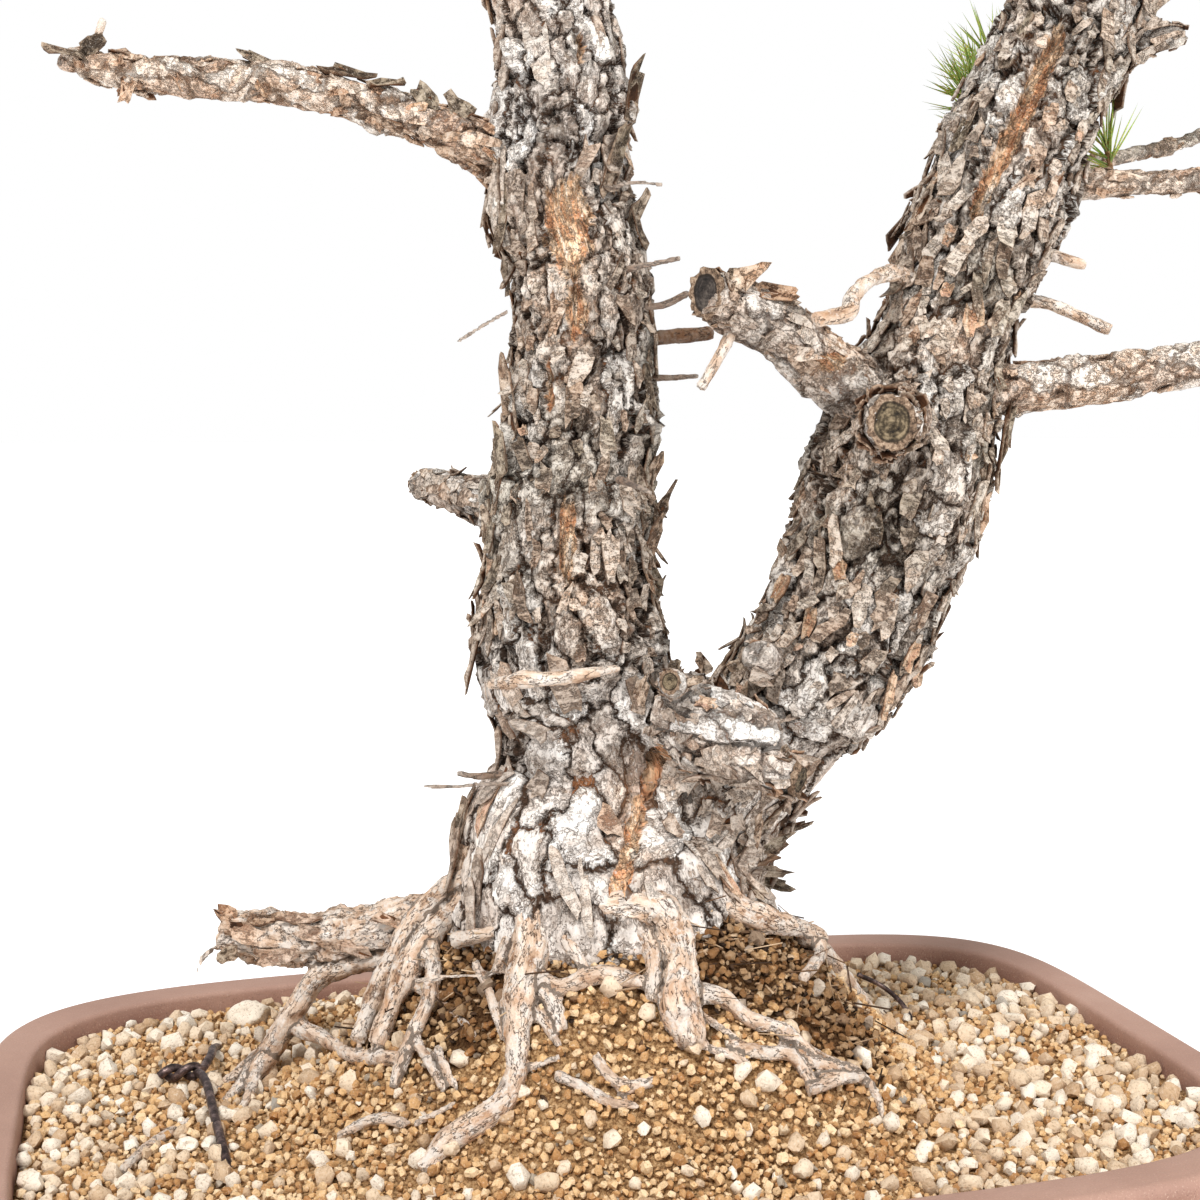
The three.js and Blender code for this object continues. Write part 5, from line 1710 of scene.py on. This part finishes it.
rng = np.random.default_rng(31)
total = 0
for side, pads in PADS.items():
    for i, (middle, halves) in enumerate(pads, 1):
        total += foliage(f"foliage_{side}_{i}", f"needle_pad_{side}_{i}", middle, halves, rng)
for i, (middle, halves, count) in enumerate(TUFTS, 1):
    total += foliage(f"tuft_{i}", None, middle, halves, rng, count)
print("foliage", total, "triangles")

# %% [markdown]
# The pot is unglazed clay, pressed in a mould: a squared oval with a flat rim, walls that lean in
# towards the foot, and five feet. It is drawn up ring by ring from the underside, over the rim and
# down inside, as a potter would pull a wall. Each ring is extruded from the last and then set out on
# the squared oval, which scaling alone can't keep even.

# %% Plan of the pot
POT_HALF_LENGTH = 243
POT_HALF_WIDTH = 157
POT_SQUARENESS = 4.86
POT_HEIGHT = 100
RIM_WIDTH = 17.5
POT_SIDES = 144
FLOOR_TOP = 20
FLOOR_BOTTOM = 8
NARROWER = POT_HALF_LENGTH - POT_HALF_WIDTH
FLOOR_INSET = 40


def squared(value):
    return np.sign(value) * np.abs(value) ** (2 / POT_SQUARENESS)


def oval(inset, height, sides=POT_SIDES):
    """A ring of the pot's plan in millimetres, moved inwards by inset."""
    angle = np.arange(sides) * 2 * math.pi / sides
    half_length = POT_HALF_LENGTH - inset
    core = POT_HALF_LENGTH - FLOOR_INSET
    if half_length > core:
        half_width = half_length - NARROWER
    else:
        half_width = half_length * (core - NARROWER) / core
    x = squared(np.cos(angle).round(9)) * half_length
    y = squared(np.sin(angle).round(9)) * half_width
    return np.stack([x, y, np.full(sides, float(height))], axis=1) * MM


def arc(inset, height, radius, start, stop, steps=4):
    """Points of a rounded edge in the pot's section, as inset and height."""
    turn = np.radians(np.linspace(start, stop, steps + 1))
    return [(inset - radius * math.cos(a), height + radius * math.sin(a)) for a in turn]


POT_SECTION = [
    (34, FLOOR_BOTTOM), (30, 9.4), (27, 13), (19.5, 36), (12, 60), (9, 76), (8, 82), (5.2, 83.6), (2, 85.5),
    *arc(2.6, 88, 2.6, -40, 0, 2), *arc(3.2, 96.8, 3.2, 0, 90), (RIM_WIDTH / 2, POT_HEIGHT),
    *arc(RIM_WIDTH - 2.2, 97.8, 2.2, 90, 180),
    (RIM_WIDTH + 2, 76), (RIM_WIDTH + 5, 50), (32, FLOOR_TOP + 5), (35, 21.5), (FLOOR_INSET, FLOOR_TOP),
]


def drawn_up(name, rings):
    """A closed shape that starts as one ring and is extruded from each ring to the next."""
    bpy.ops.mesh.primitive_circle_add(vertices=len(rings[0]), radius=1, fill_type="NGON")
    piece = named(name)
    set_corners(piece, rings[0])
    for below, ring in zip(rings, rings[1:]):
        placed = len(piece.data.vertices)
        bpy.ops.object.mode_set(mode="EDIT")
        bpy.ops.mesh.extrude_region_move()
        bpy.ops.object.mode_set(mode="OBJECT")
        corners = corners_of(piece)
        gap = np.linalg.norm(corners[placed:, None] - below[None], axis=2)
        corners[placed:] = ring[gap.argmin(axis=1)]
        set_corners(piece, corners)
    return piece


def recalculated(piece):
    """Turns all faces outwards."""
    chosen(piece)
    bpy.ops.object.mode_set(mode="EDIT")
    bpy.ops.mesh.select_all(action="SELECT")
    bpy.ops.mesh.normals_make_consistent(inside=False)
    bpy.ops.object.mode_set(mode="OBJECT")


pot_clay = drawn_up("pot_clay", [oval(inset, height) for inset, height in POT_SECTION])
recalculated(pot_clay)
print("pot", triangles(pot_clay), "triangles")

# %% [markdown]
# Feet let water run off from under the pot. They are pressed on while the clay is soft, so they are
# rounded blocks joined to the floor by a boolean. Two large holes drain the pot, and four small ones
# take the wires that hold the tree. They are cut as they are in a real pot, with a round tube.

# %% Feet and holes of the pot
FOOT = (60, 42, 12)
FOOT_CORNER = 9
FEET = [(0, 0)] + [(x, y) for x in (-168, 168) for y in (-92, 92)]
HOLES = [(x, 0, 14) for x in (-110, 110)] + [(x, y, 4.5) for x in (-150, 150) for y in (-45, 45)]
TUBE_LENGTH, TUBE_SIDES = 40, 40


def boolean(piece, tool, operation):
    """Joins a tool to a piece or cuts it away, and takes the tool away."""
    apply(piece, "BOOLEAN", object=tool, operation=operation, solver="EXACT")
    bpy.data.objects.remove(tool)


def is_upright(edge):
    ends = corners_of(foot)[list(edge.vertices)]
    return abs(ends[0, 2] - ends[1, 2]) > MM


for x, y in FEET:
    middle = np.array((x, y, FOOT[2] / 2)) * MM
    bpy.ops.mesh.primitive_cube_add(size=1, location=middle, scale=np.array(FOOT) * MM)
    foot = bpy.context.object
    bpy.ops.object.transform_apply(location=True, rotation=True, scale=True)
    mark(foot, "EDGE", is_upright)
    bpy.ops.mesh.bevel(offset=FOOT_CORNER * MM, segments=5)
    bpy.ops.object.mode_set(mode="OBJECT")
    apply(foot, "BEVEL", width=1.2 * MM, segments=2, limit_method="ANGLE", angle_limit=math.radians(60))
    boolean(pot_clay, foot, "UNION")
for x, y, radius in HOLES:
    middle = (x * MM, y * MM, 14 * MM)
    bpy.ops.mesh.primitive_cylinder_add(
        vertices=TUBE_SIDES, radius=radius * MM, depth=TUBE_LENGTH * MM, location=middle
    )
    boolean(pot_clay, bpy.context.object, "DIFFERENCE")
crisp(pot_clay, 32)
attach(pot_clay, "root")
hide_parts("pot")
print("pot with feet and holes", triangles(pot_clay), "triangles")

# %% [markdown]
# Unglazed clay is matt and mauve brown, with fine sand in it. Broad clouds come from the kiln, small
# dark and light specks from the sand, and the top of the rim is painted a little paler, partly for
# rubbed wear and partly as painted light on its lit top.

# %% Fired clay
fired_clay, bench, shader = finish_for("fired clay", 0.62, 0.35)
spot = bench.object_place()
cloud = bench.noise(spot, 14.0, 4.0, 0.6)
colour = bench.ramp(cloud, (0.3, 134, 98, 84), (0.5, 156, 118, 102), (0.7, 174, 138, 121))
sand = bench.noise(spot, 1500.0, 2.0, 0.6)
colour = bench.blend(bench.span(sand, 0.60, 0.72, 0.0, 0.55), colour, paint(210, 182, 164))
colour = bench.blend(bench.span(sand, 0.40, 0.30, 0.0, 0.6), colour, paint(92, 64, 54))
# the top of the rim painted paler: partly rubbed wear, partly painted light on the lit top
rim_top_wear_and_light = bench.span(bench.parts(spot)[2], 0.094, 0.1, 0.0, 0.45)
colour = bench.blend(rim_top_wear_and_light, colour, paint(190, 156, 140))
dress(bench, shader, colour, bench.plus(sand, 0.35, bench.noise(spot, 240.0, 3.0)), 0.0004)
bench.feed(shader.inputs["Roughness"], bench.span(cloud, 0.3, 0.7, 0.72, 0.55))
pot_clay.data.materials.append(fired_clay)
print("clay nodes", len(fired_clay.node_tree.nodes))

# %% [markdown]
# The soil fills the pot to just under the rim and rises in a mound to the roots. It is one closed body,
# rings again, with fine grit in its surface. The loose grains that make it look like soil are laid on
# it afterwards.

# %% Height of the soil
SOIL_LEVEL = 92
MOUND_RISE = 103
MOUND_MIDDLE = (5, 5)
MOUND_HALVES = (148, 125)
GRAIN_DEPTH = 1.6


def from_tree(points):
    """X and Y in the tree's own frame, in millimetres, of places in the pot's frame."""
    return tree_frame(np.column_stack([points[:, :2], np.zeros(len(points))]))[:, :2]


def soil_height(points):
    """Height of the soil in metres at places in the pot's frame."""
    spread = ((from_tree(points) - MOUND_MIDDLE) / MOUND_HALVES) ** 2
    return (SOIL_LEVEL + MOUND_RISE * np.maximum(0, 1 - spread.sum(axis=1)) ** 2) * MM


def unevenness(points):
    """Gentle waves in the surface, a millimetre or two high."""
    x, y = points[:, 0] / 0.031, points[:, 1] / 0.027
    return (np.sin(x + 1.3 * np.sin(y)) + np.sin(1.7 * y + 0.8 * np.cos(1.4 * x))) * 0.6 * MM


def under_grains(points):
    """Height of the soil body, which the loose grains cover."""
    return soil_height(points) - GRAIN_DEPTH * MM + unevenness(points)


# spots where the soil gets painted shade, round the foot of the tree and among its roots, with their reach
ROOT_SHADE_SPOTS = [
    ((-42, -28), 44), ((78, -22), 40), ((-78, -8), 34), ((12, 30), 78), ((30, -40), 30), ((48, -30), 34),
]


def shade_round_roots(points):
    """How much painted shade the soil gets, 0 to 1, round the foot of the tree and among its roots."""
    return nearness(from_tree(points), ROOT_SHADE_SPOTS, 0.45, 1.25)


SOIL_RINGS = 46
SOIL_SIDES = 144
SOIL_INSET = RIM_WIDTH + 0.8
SOIL_SECTION = [(200, 20.8), (41, 20.8), (32.5, 25.6), (22.9, 50)]
outer = oval(SOIL_INSET, SOIL_LEVEL, SOIL_SIDES)
rings = [oval(inset, height, SOIL_SIDES) for inset, height in SOIL_SECTION]
for share in np.linspace(1, 0.02, SOIL_RINGS):
    ring = outer * (share, share, 1)
    ring[:, 2] = under_grains(ring)
    rings.append(ring)
soil_body = drawn_up("soil_body", rings)
recalculated(soil_body)
bpy.ops.object.shade_smooth()
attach(soil_body, "root")
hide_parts("soil_bed")
store(soil_body, "root_shade", shade_round_roots(corners_of(soil_body)))
print("soil body", triangles(soil_body), "triangles")

# %% [markdown]
# Grains are lumps. A handful of models is enough: a ball is roughened, and the convex hull of it is
# taken, which leaves a few dozen flat faces like those of crushed stone. Pumice is cream and the
# largest, akadama is tan baked clay, and the finest is akadama dust.

# %% Models of the grains
def lump(sides, bands, roughness, seed):
    """A grain about one unit across, from a coarse ball with roughened corners."""
    bpy.ops.mesh.primitive_uv_sphere_add(segments=sides, ring_count=bands, radius=0.5)
    bpy.ops.object.mode_set(mode="EDIT")
    bpy.ops.mesh.select_all(action="SELECT")
    bpy.ops.transform.vertex_random(offset=roughness, uniform=1.0, seed=seed)
    bpy.ops.mesh.select_all(action="SELECT")
    bpy.ops.mesh.convex_hull()
    return shape_of(bpy.context.object)


pumice_models = [lump(7, 4, 0.15, seed) for seed in range(8)]
akadama_models = [lump(5, 3, 0.09, seed) for seed in range(20, 27)]
dust_models = [lump(3, 3, 0.08, seed) for seed in range(40, 43)]
for label, models in (("pumice", pumice_models), ("akadama", akadama_models), ("dust", dust_models)):
    print(label, "faces", [len(faces) for _, faces in models])

# %% [markdown]
# Grains don't lie on a grid and don't pass through each other. Each is thrown down at a random spot,
# the largest first, and kept only if it has room. A grid of small squares makes that test quick. How
# likely a grain is to be kept differs from place to place, and so the kinds gather where they should.

# %% Throwing grains
class Bed:
    """Remembers where grains lie."""

    SQUARE = 0.012

    def __init__(self):
        self.squares = {}

    def room(self, x, y, radius):
        column, line = int(x // self.SQUARE), int(y // self.SQUARE)
        for i in range(column - 1, column + 2):
            for j in range(line - 1, line + 2):
                for a, b, other in self.squares.get((i, j), ()):
                    if (a - x) ** 2 + (b - y) ** 2 < (radius + other) ** 2:
                        return False
        return True

    def add(self, x, y, radius):
        key = (int(x // self.SQUARE), int(y // self.SQUARE))
        self.squares.setdefault(key, []).append((x, y, radius))


def thrown(bed, tries, radii, share, closeness, rng):
    """Places and radii of the grains that find room. share gives the chance of one at a place."""
    across, back = rng.uniform(-1, 1, (2, tries))
    x = across * (POT_HALF_LENGTH - SOIL_INSET - 1.5) * MM
    y = back * (POT_HALF_WIDTH - SOIL_INSET - 1.5) * MM
    radius = rng.uniform(*radii, tries) * MM
    wanted = rng.random(tries) < share(np.stack([x, y], axis=1))
    wanted &= np.abs(across) ** POT_SQUARENESS + np.abs(back) ** POT_SQUARENESS < 1
    kept = []
    for i in np.flatnonzero(wanted):
        if bed.room(x[i], y[i], radius[i] * closeness):
            bed.add(x[i], y[i], radius[i] * closeness)
            kept.append(i)
    return np.stack([x[kept], y[kept]], axis=1), radius[kept]


def clumps(places):
    """A slow random pattern, 0 to 1, that gathers like grains together."""
    x, y = places[:, 0] / 0.02, places[:, 1] / 0.02
    return 0.5 + 0.25 * np.sin(x + 2 * np.sin(0.7 * y)) + 0.25 * np.sin(1.3 * y + 1.5 * np.cos(0.9 * x))


def pumice_share(places):
    """Pumice lies thickest near the rim and on the right."""
    x, y = from_tree(places).T
    steep = eased(94, 108, soil_height(places) / MM)
    side = eased(60, 150, x) + 0.55 * eased(90, 190, -x) + 0.6 * eased(60, 120, y)
    rim = eased(0.80, 0.95, np.maximum(np.abs(places[:, 0]) / 0.225, np.abs(places[:, 1]) / 0.139))
    share = np.clip(0.20 + 0.30 * side + 0.34 * rim, 0, 0.70) * (1 - 0.66 * steep)
    return share * (0.45 + 0.8 * clumps(places))


def everywhere(places):
    """Akadama fills all the room that the pumice leaves."""
    return np.ones(len(places))


def heap_share(places):
    """More akadama lies in a second layer on the front of the mound."""
    front = 1 - eased(-30, 10, from_tree(places)[:, 1])
    return eased(92, 95, soil_height(places) / MM) * front * (0.7 + 0.3 * clumps(places[:, ::-1]))


def dust_share(places):
    """Dust gathers in front of the middle, where water washes it."""
    x, y = from_tree(places).T
    return 0.18 + 0.82 * eased(40, 110, -y) * (1 - eased(90, 170, np.abs(x - 40)))


rng = np.random.default_rng(47)
bed = Bed()
pumice_places = thrown(bed, 9000, (1.4, 4.2), pumice_share, 0.82, rng)
akadama_places = thrown(bed, 60000, (1.0, 2.3), everywhere, 0.80, rng)
heap_places = thrown(Bed(), 30000, (0.9, 2.3), heap_share, 0.86, rng)
print("pumice", len(pumice_places[1]), "akadama", len(akadama_places[1]), "heap", len(heap_places[1]))

# %% [markdown]
# Every grain is a copy of one of the models, with its own three sizes and its own turn, and sits partly
# in the soil, because watering settles it. A number kept on each grain lets its colour differ later.

# %% Laying the grains
def grains(name, models, places, radii, sunk, slot, rng):
    """Grains as one piece, each turned at random and sunk a little into the soil."""
    count = len(radii)
    size = radii[:, None] * 2 * rng.uniform(0.66, 1.22, (count, 3))
    one = unit(rng.normal(size=(count, 3)))
    axes = arranged((one, *directions(one, rng)), np.hsplit(size, 3))
    spots = np.column_stack([places, under_grains(places) + radii * sunk])
    kinds = rng.integers(0, len(models), count)
    parts, numbers = [], []
    for i, model in enumerate(models):
        these = kinds == i
        parts.append(copies(model, spots[these], axes[these]))
        numbers.append(np.repeat(rng.random(these.sum()), len(model[0])))
    corners, faces = gathered(parts)
    piece = mesh_piece(name, corners, faces)
    recalculated(piece)
    crisp(piece, 50)
    store(piece, "number", np.concatenate(numbers))
    store(piece, "root_shade", shade_round_roots(corners))
    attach(piece, "root")
    print(name, count, "grains", len(faces), "triangles")
    return piece


pumice_gravel = grains("pumice_gravel", pumice_models, *pumice_places, 0.7, "pumice", rng)
akadama_gravel = grains("akadama_gravel", akadama_models, *akadama_places, 0.8, "soil", rng)
akadama_heap = grains("akadama_heap", akadama_models, *heap_places, 1.5, "soil", rng)
dust_places = thrown(Bed(), 12000, (0.5, 1.2), dust_share, 0.62, rng)
akadama_dust = grains("akadama_dust", dust_models, *dust_places, 0.9, "soil", rng)

# %% [markdown]
# Between the roots lies what the tree drops: crumbs of dark bark and thin dead fibres. Crumbs are the
# same lumps pressed flat, and fibres are the rods that also make the shoots.

# %% Litter under the tree
CRUMBS, FIBRES = 620, 330


def scattered(count, rng):
    """Random spots gathered round the places of painted shade among the roots."""
    spots, reach = (np.array(row, float) for row in zip(*ROOT_SHADE_SPOTS))
    pick = rng.choice(len(spots), count, p=reach / reach.sum())
    flat = spots[pick] + rng.normal(0, 0.5, (count, 2)) * reach[pick, None]
    places = planted(np.column_stack([flat, np.zeros(count)]))[:, :2]
    return np.column_stack([places, under_grains(places)])


def litter(name, shape, size, lying, rng):
    """Copies of a shape strewn flat. size gives the range of each of its three sides in millimetres."""
    count = len(lying)
    ahead = unit(rng.normal(size=(count, 3)) * (1, 1, 0.25))
    across = directions(ahead, rng)
    sides = rng.uniform(*np.array(size, float).T, (count, 3)) * MM
    corners, faces = copies(shape, lying, arranged((*across, ahead), np.hsplit(sides, 3)))
    piece = mesh_piece(name, corners, faces)
    recalculated(piece)
    store(piece, "number", np.repeat(rng.random(count), len(shape[0])))
    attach(piece, "root")
    print(name, count, "pieces", len(faces), "triangles")
    return piece


rng = np.random.default_rng(71)
crumb_spots = scattered(CRUMBS, rng) + (0, 0, 2.2 * MM)
fibre_spots = scattered(FIBRES, rng)
fibre_spots[:, 2] += rng.uniform(2, 6, FIBRES) * MM
bark_crumbs = litter("bark_crumbs", dust_models[0], ((1.5, 4), (0.8, 2), (2, 6)), crumb_spots, rng)
dead_fibres = litter("dead_fibres", rod_shape, ((0.15, 0.4), (0.15, 0.4), (5, 17)), fibre_spots, rng)

litter_finish, bench, shader = finish_for("bark litter", 0.9, 0.15)
each = bench.times(bench.attribute("number"), 0.6)
tone = bench.plus(bench.noise(bench.object_place(), 500.0, 3.0, 0.7), 0.4, each)
colour = bench.ramp(
    tone, (0.2, 44, 33, 26), (0.42, 86, 64, 48), (0.6, 138, 106, 78), (0.78, 204, 176, 144)
)
dress(bench, shader, colour, tone, 0.0008)
for piece in (bark_crumbs, dead_fibres):
    piece.data.materials.append(litter_finish)

# %% [markdown]
# Porous grains all look chalky. Their common finish is a node group: a base colour that differs from
# grain to grain, small pits, and a few grey strangers. Round the foot of the tree and among its roots
# the grains and the soil body alike get painted shade, with one broken outline for both.

# %% Finish of the grains
def darkened_by_root_shade(bench, spot, colour, low, high, most, shade_colour):
    """Darkens a colour with painted shade round the foot of the tree and among its roots."""
    ragged = bench.span(bench.noise(spot, 90.0, 3.0), 0.3, 0.7, -0.5, 0.3)
    root_shade = bench.sum("ADD", bench.attribute("root_shade"), ragged)
    # painted shade round the foot of the tree and among its roots
    return bench.blend(bench.soft(root_shade, low, high, 0.0, most), colour, shade_colour, "MULTIPLY")


bench, given, end = effect(
    "porous grain",
    {"Number": "number", "Dark": "colour", "Middle": "colour", "Light": "colour", "Pits": "number"},
    {"Color": "colour", "Height": "number"},
)
spot = bench.object_place()
number = given["Number"]
first = bench.blend(bench.span(number, 0.0, 0.45), given["Dark"], given["Middle"])
colour = bench.blend(bench.span(number, 0.45, 1.0), first, given["Light"])
pit = bench.noise(spot, given["Pits"], 3.0, 0.7)
colour = bench.blend(bench.span(pit, 0.46, 0.34, 0.0, 0.5), colour, paint(134, 100, 66))
colour = bench.blend(bench.span(pit, 0.56, 0.7, 0.0, 0.4), colour, paint(250, 240, 224))
colour = bench.blend(bench.span(number, 0.98, 0.985, 0.0, 0.8), colour, paint(152, 144, 134))
bench.feed(end.inputs["Color"], darkened_by_root_shade(bench, spot, colour, 0.45, 0.9, 0.72, paint(118, 90, 66)))
bench.feed(end.inputs["Height"], pit)
porous_grain = bench.tree


def grain_finish(name, pits, dark, middle, light, pieces):
    """A material for one kind of grain, put on its pieces."""
    material, bench, shader = finish_for(name, 0.92, 0.15)
    fed = {
        "Number": bench.attribute("number"), "Pits": pits,
        "Dark": paint(*dark), "Middle": paint(*middle), "Light": paint(*light),
    }
    made = bench.put("ShaderNodeGroup", fed, node_tree=porous_grain).outputs
    dress(bench, shader, made["Color"], made["Height"], 0.0006)
    for piece in pieces:
        piece.data.materials.append(material)
    return material


pumice_finish = grain_finish(
    "pumice", 900.0, (196, 164, 130), (232, 210, 182), (248, 238, 222), [pumice_gravel],
)
grain_finish(
    "akadama", 1100.0, (178, 128, 80), (224, 182, 130), (244, 216, 176), [akadama_gravel, akadama_heap],
)
grain_finish("akadama dust", 1500.0, (184, 138, 90), (226, 188, 138), (244, 218, 180), [akadama_dust])

packed_soil, bench, shader = finish_for("packed soil", 0.95, 0.1)
spot = bench.object_place()
grit = bench.noise(spot, 620.0, 4.0, 0.75)
# the body is painted darker than the grains on it, as painted shade in the gaps between them
colour = bench.ramp(
    grit, (0.30, 76, 54, 38), (0.43, 138, 102, 68), (0.55, 196, 156, 110),
    (0.72, 236, 206, 164),
)
dress(bench, shader, darkened_by_root_shade(bench, spot, colour, 0.3, 0.8, 0.85, paint(96, 72, 54)), grit, 0.0022)
soil_body.data.materials.append(packed_soil)
print("grain finishes", 4)

# %% [markdown]
# Six stones lie loose on the bed, larger than the rest. Each starts as a ball of the size that the
# frame gives. A few flat sides are pressed into it, as if it had been crushed, and waves roughen it.

# %% Loose stones
STONES = 6
FLAT_SIDES = 9

rng = np.random.default_rng(61)
for i in range(1, STONES + 1):
    node = f"pumice_stone_{i}"
    low, high = (np.array(corner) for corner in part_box(node))
    bpy.ops.mesh.primitive_ico_sphere_add(subdivisions=4, radius=0.5)
    stone = named(f"loose_stone_{i}")
    corners = corners_of(stone)
    outward = unit(rng.normal(size=(FLAT_SIDES, 3)))
    pressed = np.minimum(0.40 - corners @ outward.T, 0)
    corners = corners + 0.85 * np.einsum("vk,kj->vj", pressed, outward)
    ripple = np.sin(corners @ rng.normal(0, 14, (3, 5)) + rng.uniform(0, 6, 5)).sum(axis=1)
    corners *= 1 + 0.012 * ripple[:, None]
    set_corners(stone, (low + high) / 2 + corners * (high - low))
    bpy.ops.object.shade_smooth()
    store(stone, "number", np.full(len(corners), rng.uniform(0.5, 1.0)))
    stone.data.materials.append(pumice_finish)
    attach(stone, "root")
    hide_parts(node)
print("stones", STONES)

# %% [markdown]
# Wires tie the root mass down. They are soft aluminium, anodised a brown that has worn, and two of them
# are twisted together on the left. The routes are the frame's own, drawn again as round curves.

# %% Tie wires
WIRE_RADIUS = 1.75
THIN_WIRE_RADIUS = 1.1
GAP = 0.3
WIRE_STEP = 1.6
TWIST_START = np.array((-163.0, 0, 99))
TWIST_END = np.array((-179.0, 2, 97))
UPWARD = np.array((0, 0, 1))


def twist(phase):
    """One turn of a strand round the line between the twist's ends."""
    across = unit(np.cross(unit(TWIST_END - TWIST_START), UPWARD))
    reach = WIRE_RADIUS * 1.08 + GAP / 2
    share = np.linspace(0, 1, 9)[:, None]
    angle = phase + share * 2 * math.pi
    middle = TWIST_START + (TWIST_END - TWIST_START) * share
    return middle + across * np.cos(angle) * reach + UPWARD * np.sin(angle) * reach


def wire_line(radius, x, y, above):
    """A strand from under the pot's floor, up through its hole and over the soil, in metres."""
    under = FLOOR_BOTTOM - 2 * GAP - radius
    tail = x - math.copysign(16, x)
    below = np.array([(tail, y, under), (x, y, under + 1), (x, y, FLOOR_TOP + 6)]) * MM
    return np.vstack([below, planted(above)])


# the radius, the hole in X and Y, and the way over the soil
STRANDS = {
    "left_front": (WIRE_RADIUS, -150, -45, [
        (-132, -80, 70), (-137, -73, 90), (-148, -43, 97), (-157, -16, 100), *twist(math.pi),
    ]),
    "left_back": (WIRE_RADIUS, -150, 45, [
        (-165, 58, 70), (-166, 52, 88), (-165, 34, 96), (-162, 15, 100), *twist(0.0),
    ]),
    "right": (THIN_WIRE_RADIUS, 150, 45, [
        (138, 78, 70), (137, 82, 88), (134, 92, 95), (126, 100, 101), (114, 96, 108),
    ]),
}

worn_wire, bench, shader = finish_for("worn brown wire", 0.42, 0.5)
shader.inputs["Metallic"].default_value = 0.75
spot = bench.object_place()
wear = bench.noise(spot, 240.0, 4.0, 0.7)
colour = bench.ramp(wear, (0.32, 40, 34, 34), (0.5, 84, 68, 66), (0.68, 150, 128, 122))
dress(bench, shader, colour, bench.noise(spot, 1200.0, 2.0), 0.0002)
bench.feed(shader.inputs["Roughness"], bench.span(wear, 0.3, 0.7, 0.55, 0.35))

for name, recipe in STRANDS.items():
    path = drawn_through(wire_line(*recipe), WIRE_STEP * MM)
    wire = round_curves(f"wire_{name}", recipe[0] * MM, 4, [(path, np.ones(len(path)))])
    wire.data.materials.append(worn_wire)
    crisp(wire, 40)
    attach(wire, "root")
    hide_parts(f"tie_wire_{name}")
print("wires", len(STRANDS))

# %% [markdown]
# The drain mesh and the clips that pin it under the pot keep the frame's shape, which is already right
# for such plain things. They only need their finish: black plastic with a slight sheen, and the same
# worn wire.

# %% Drain fittings
mesh_plastic, bench, shader = finish_for("black mesh plastic", 0.5, 0.45)
scuff = bench.noise(bench.object_place(), 300.0, 3.0)
dress(bench, shader, bench.ramp(scuff, (0.4, 22, 24, 25), (0.65, 52, 52, 50)), scuff, 0.0003)
FITTINGS = {"drain_mesh": mesh_plastic, "mesh_clip": worn_wire}
for kind, finish in FITTINGS.items():
    for side in ("left", "right"):
        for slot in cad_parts[f"{kind}_{side}"].material_slots:
            slot.material = finish
print("kinds of fittings", len(FITTINGS))

# %% [markdown]
# Last, the triangles of all the pieces that are shown are counted.

# %% Close the lesson
total = sum(triangles(piece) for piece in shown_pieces() if piece.type == "MESH")
print("triangles in all", total)
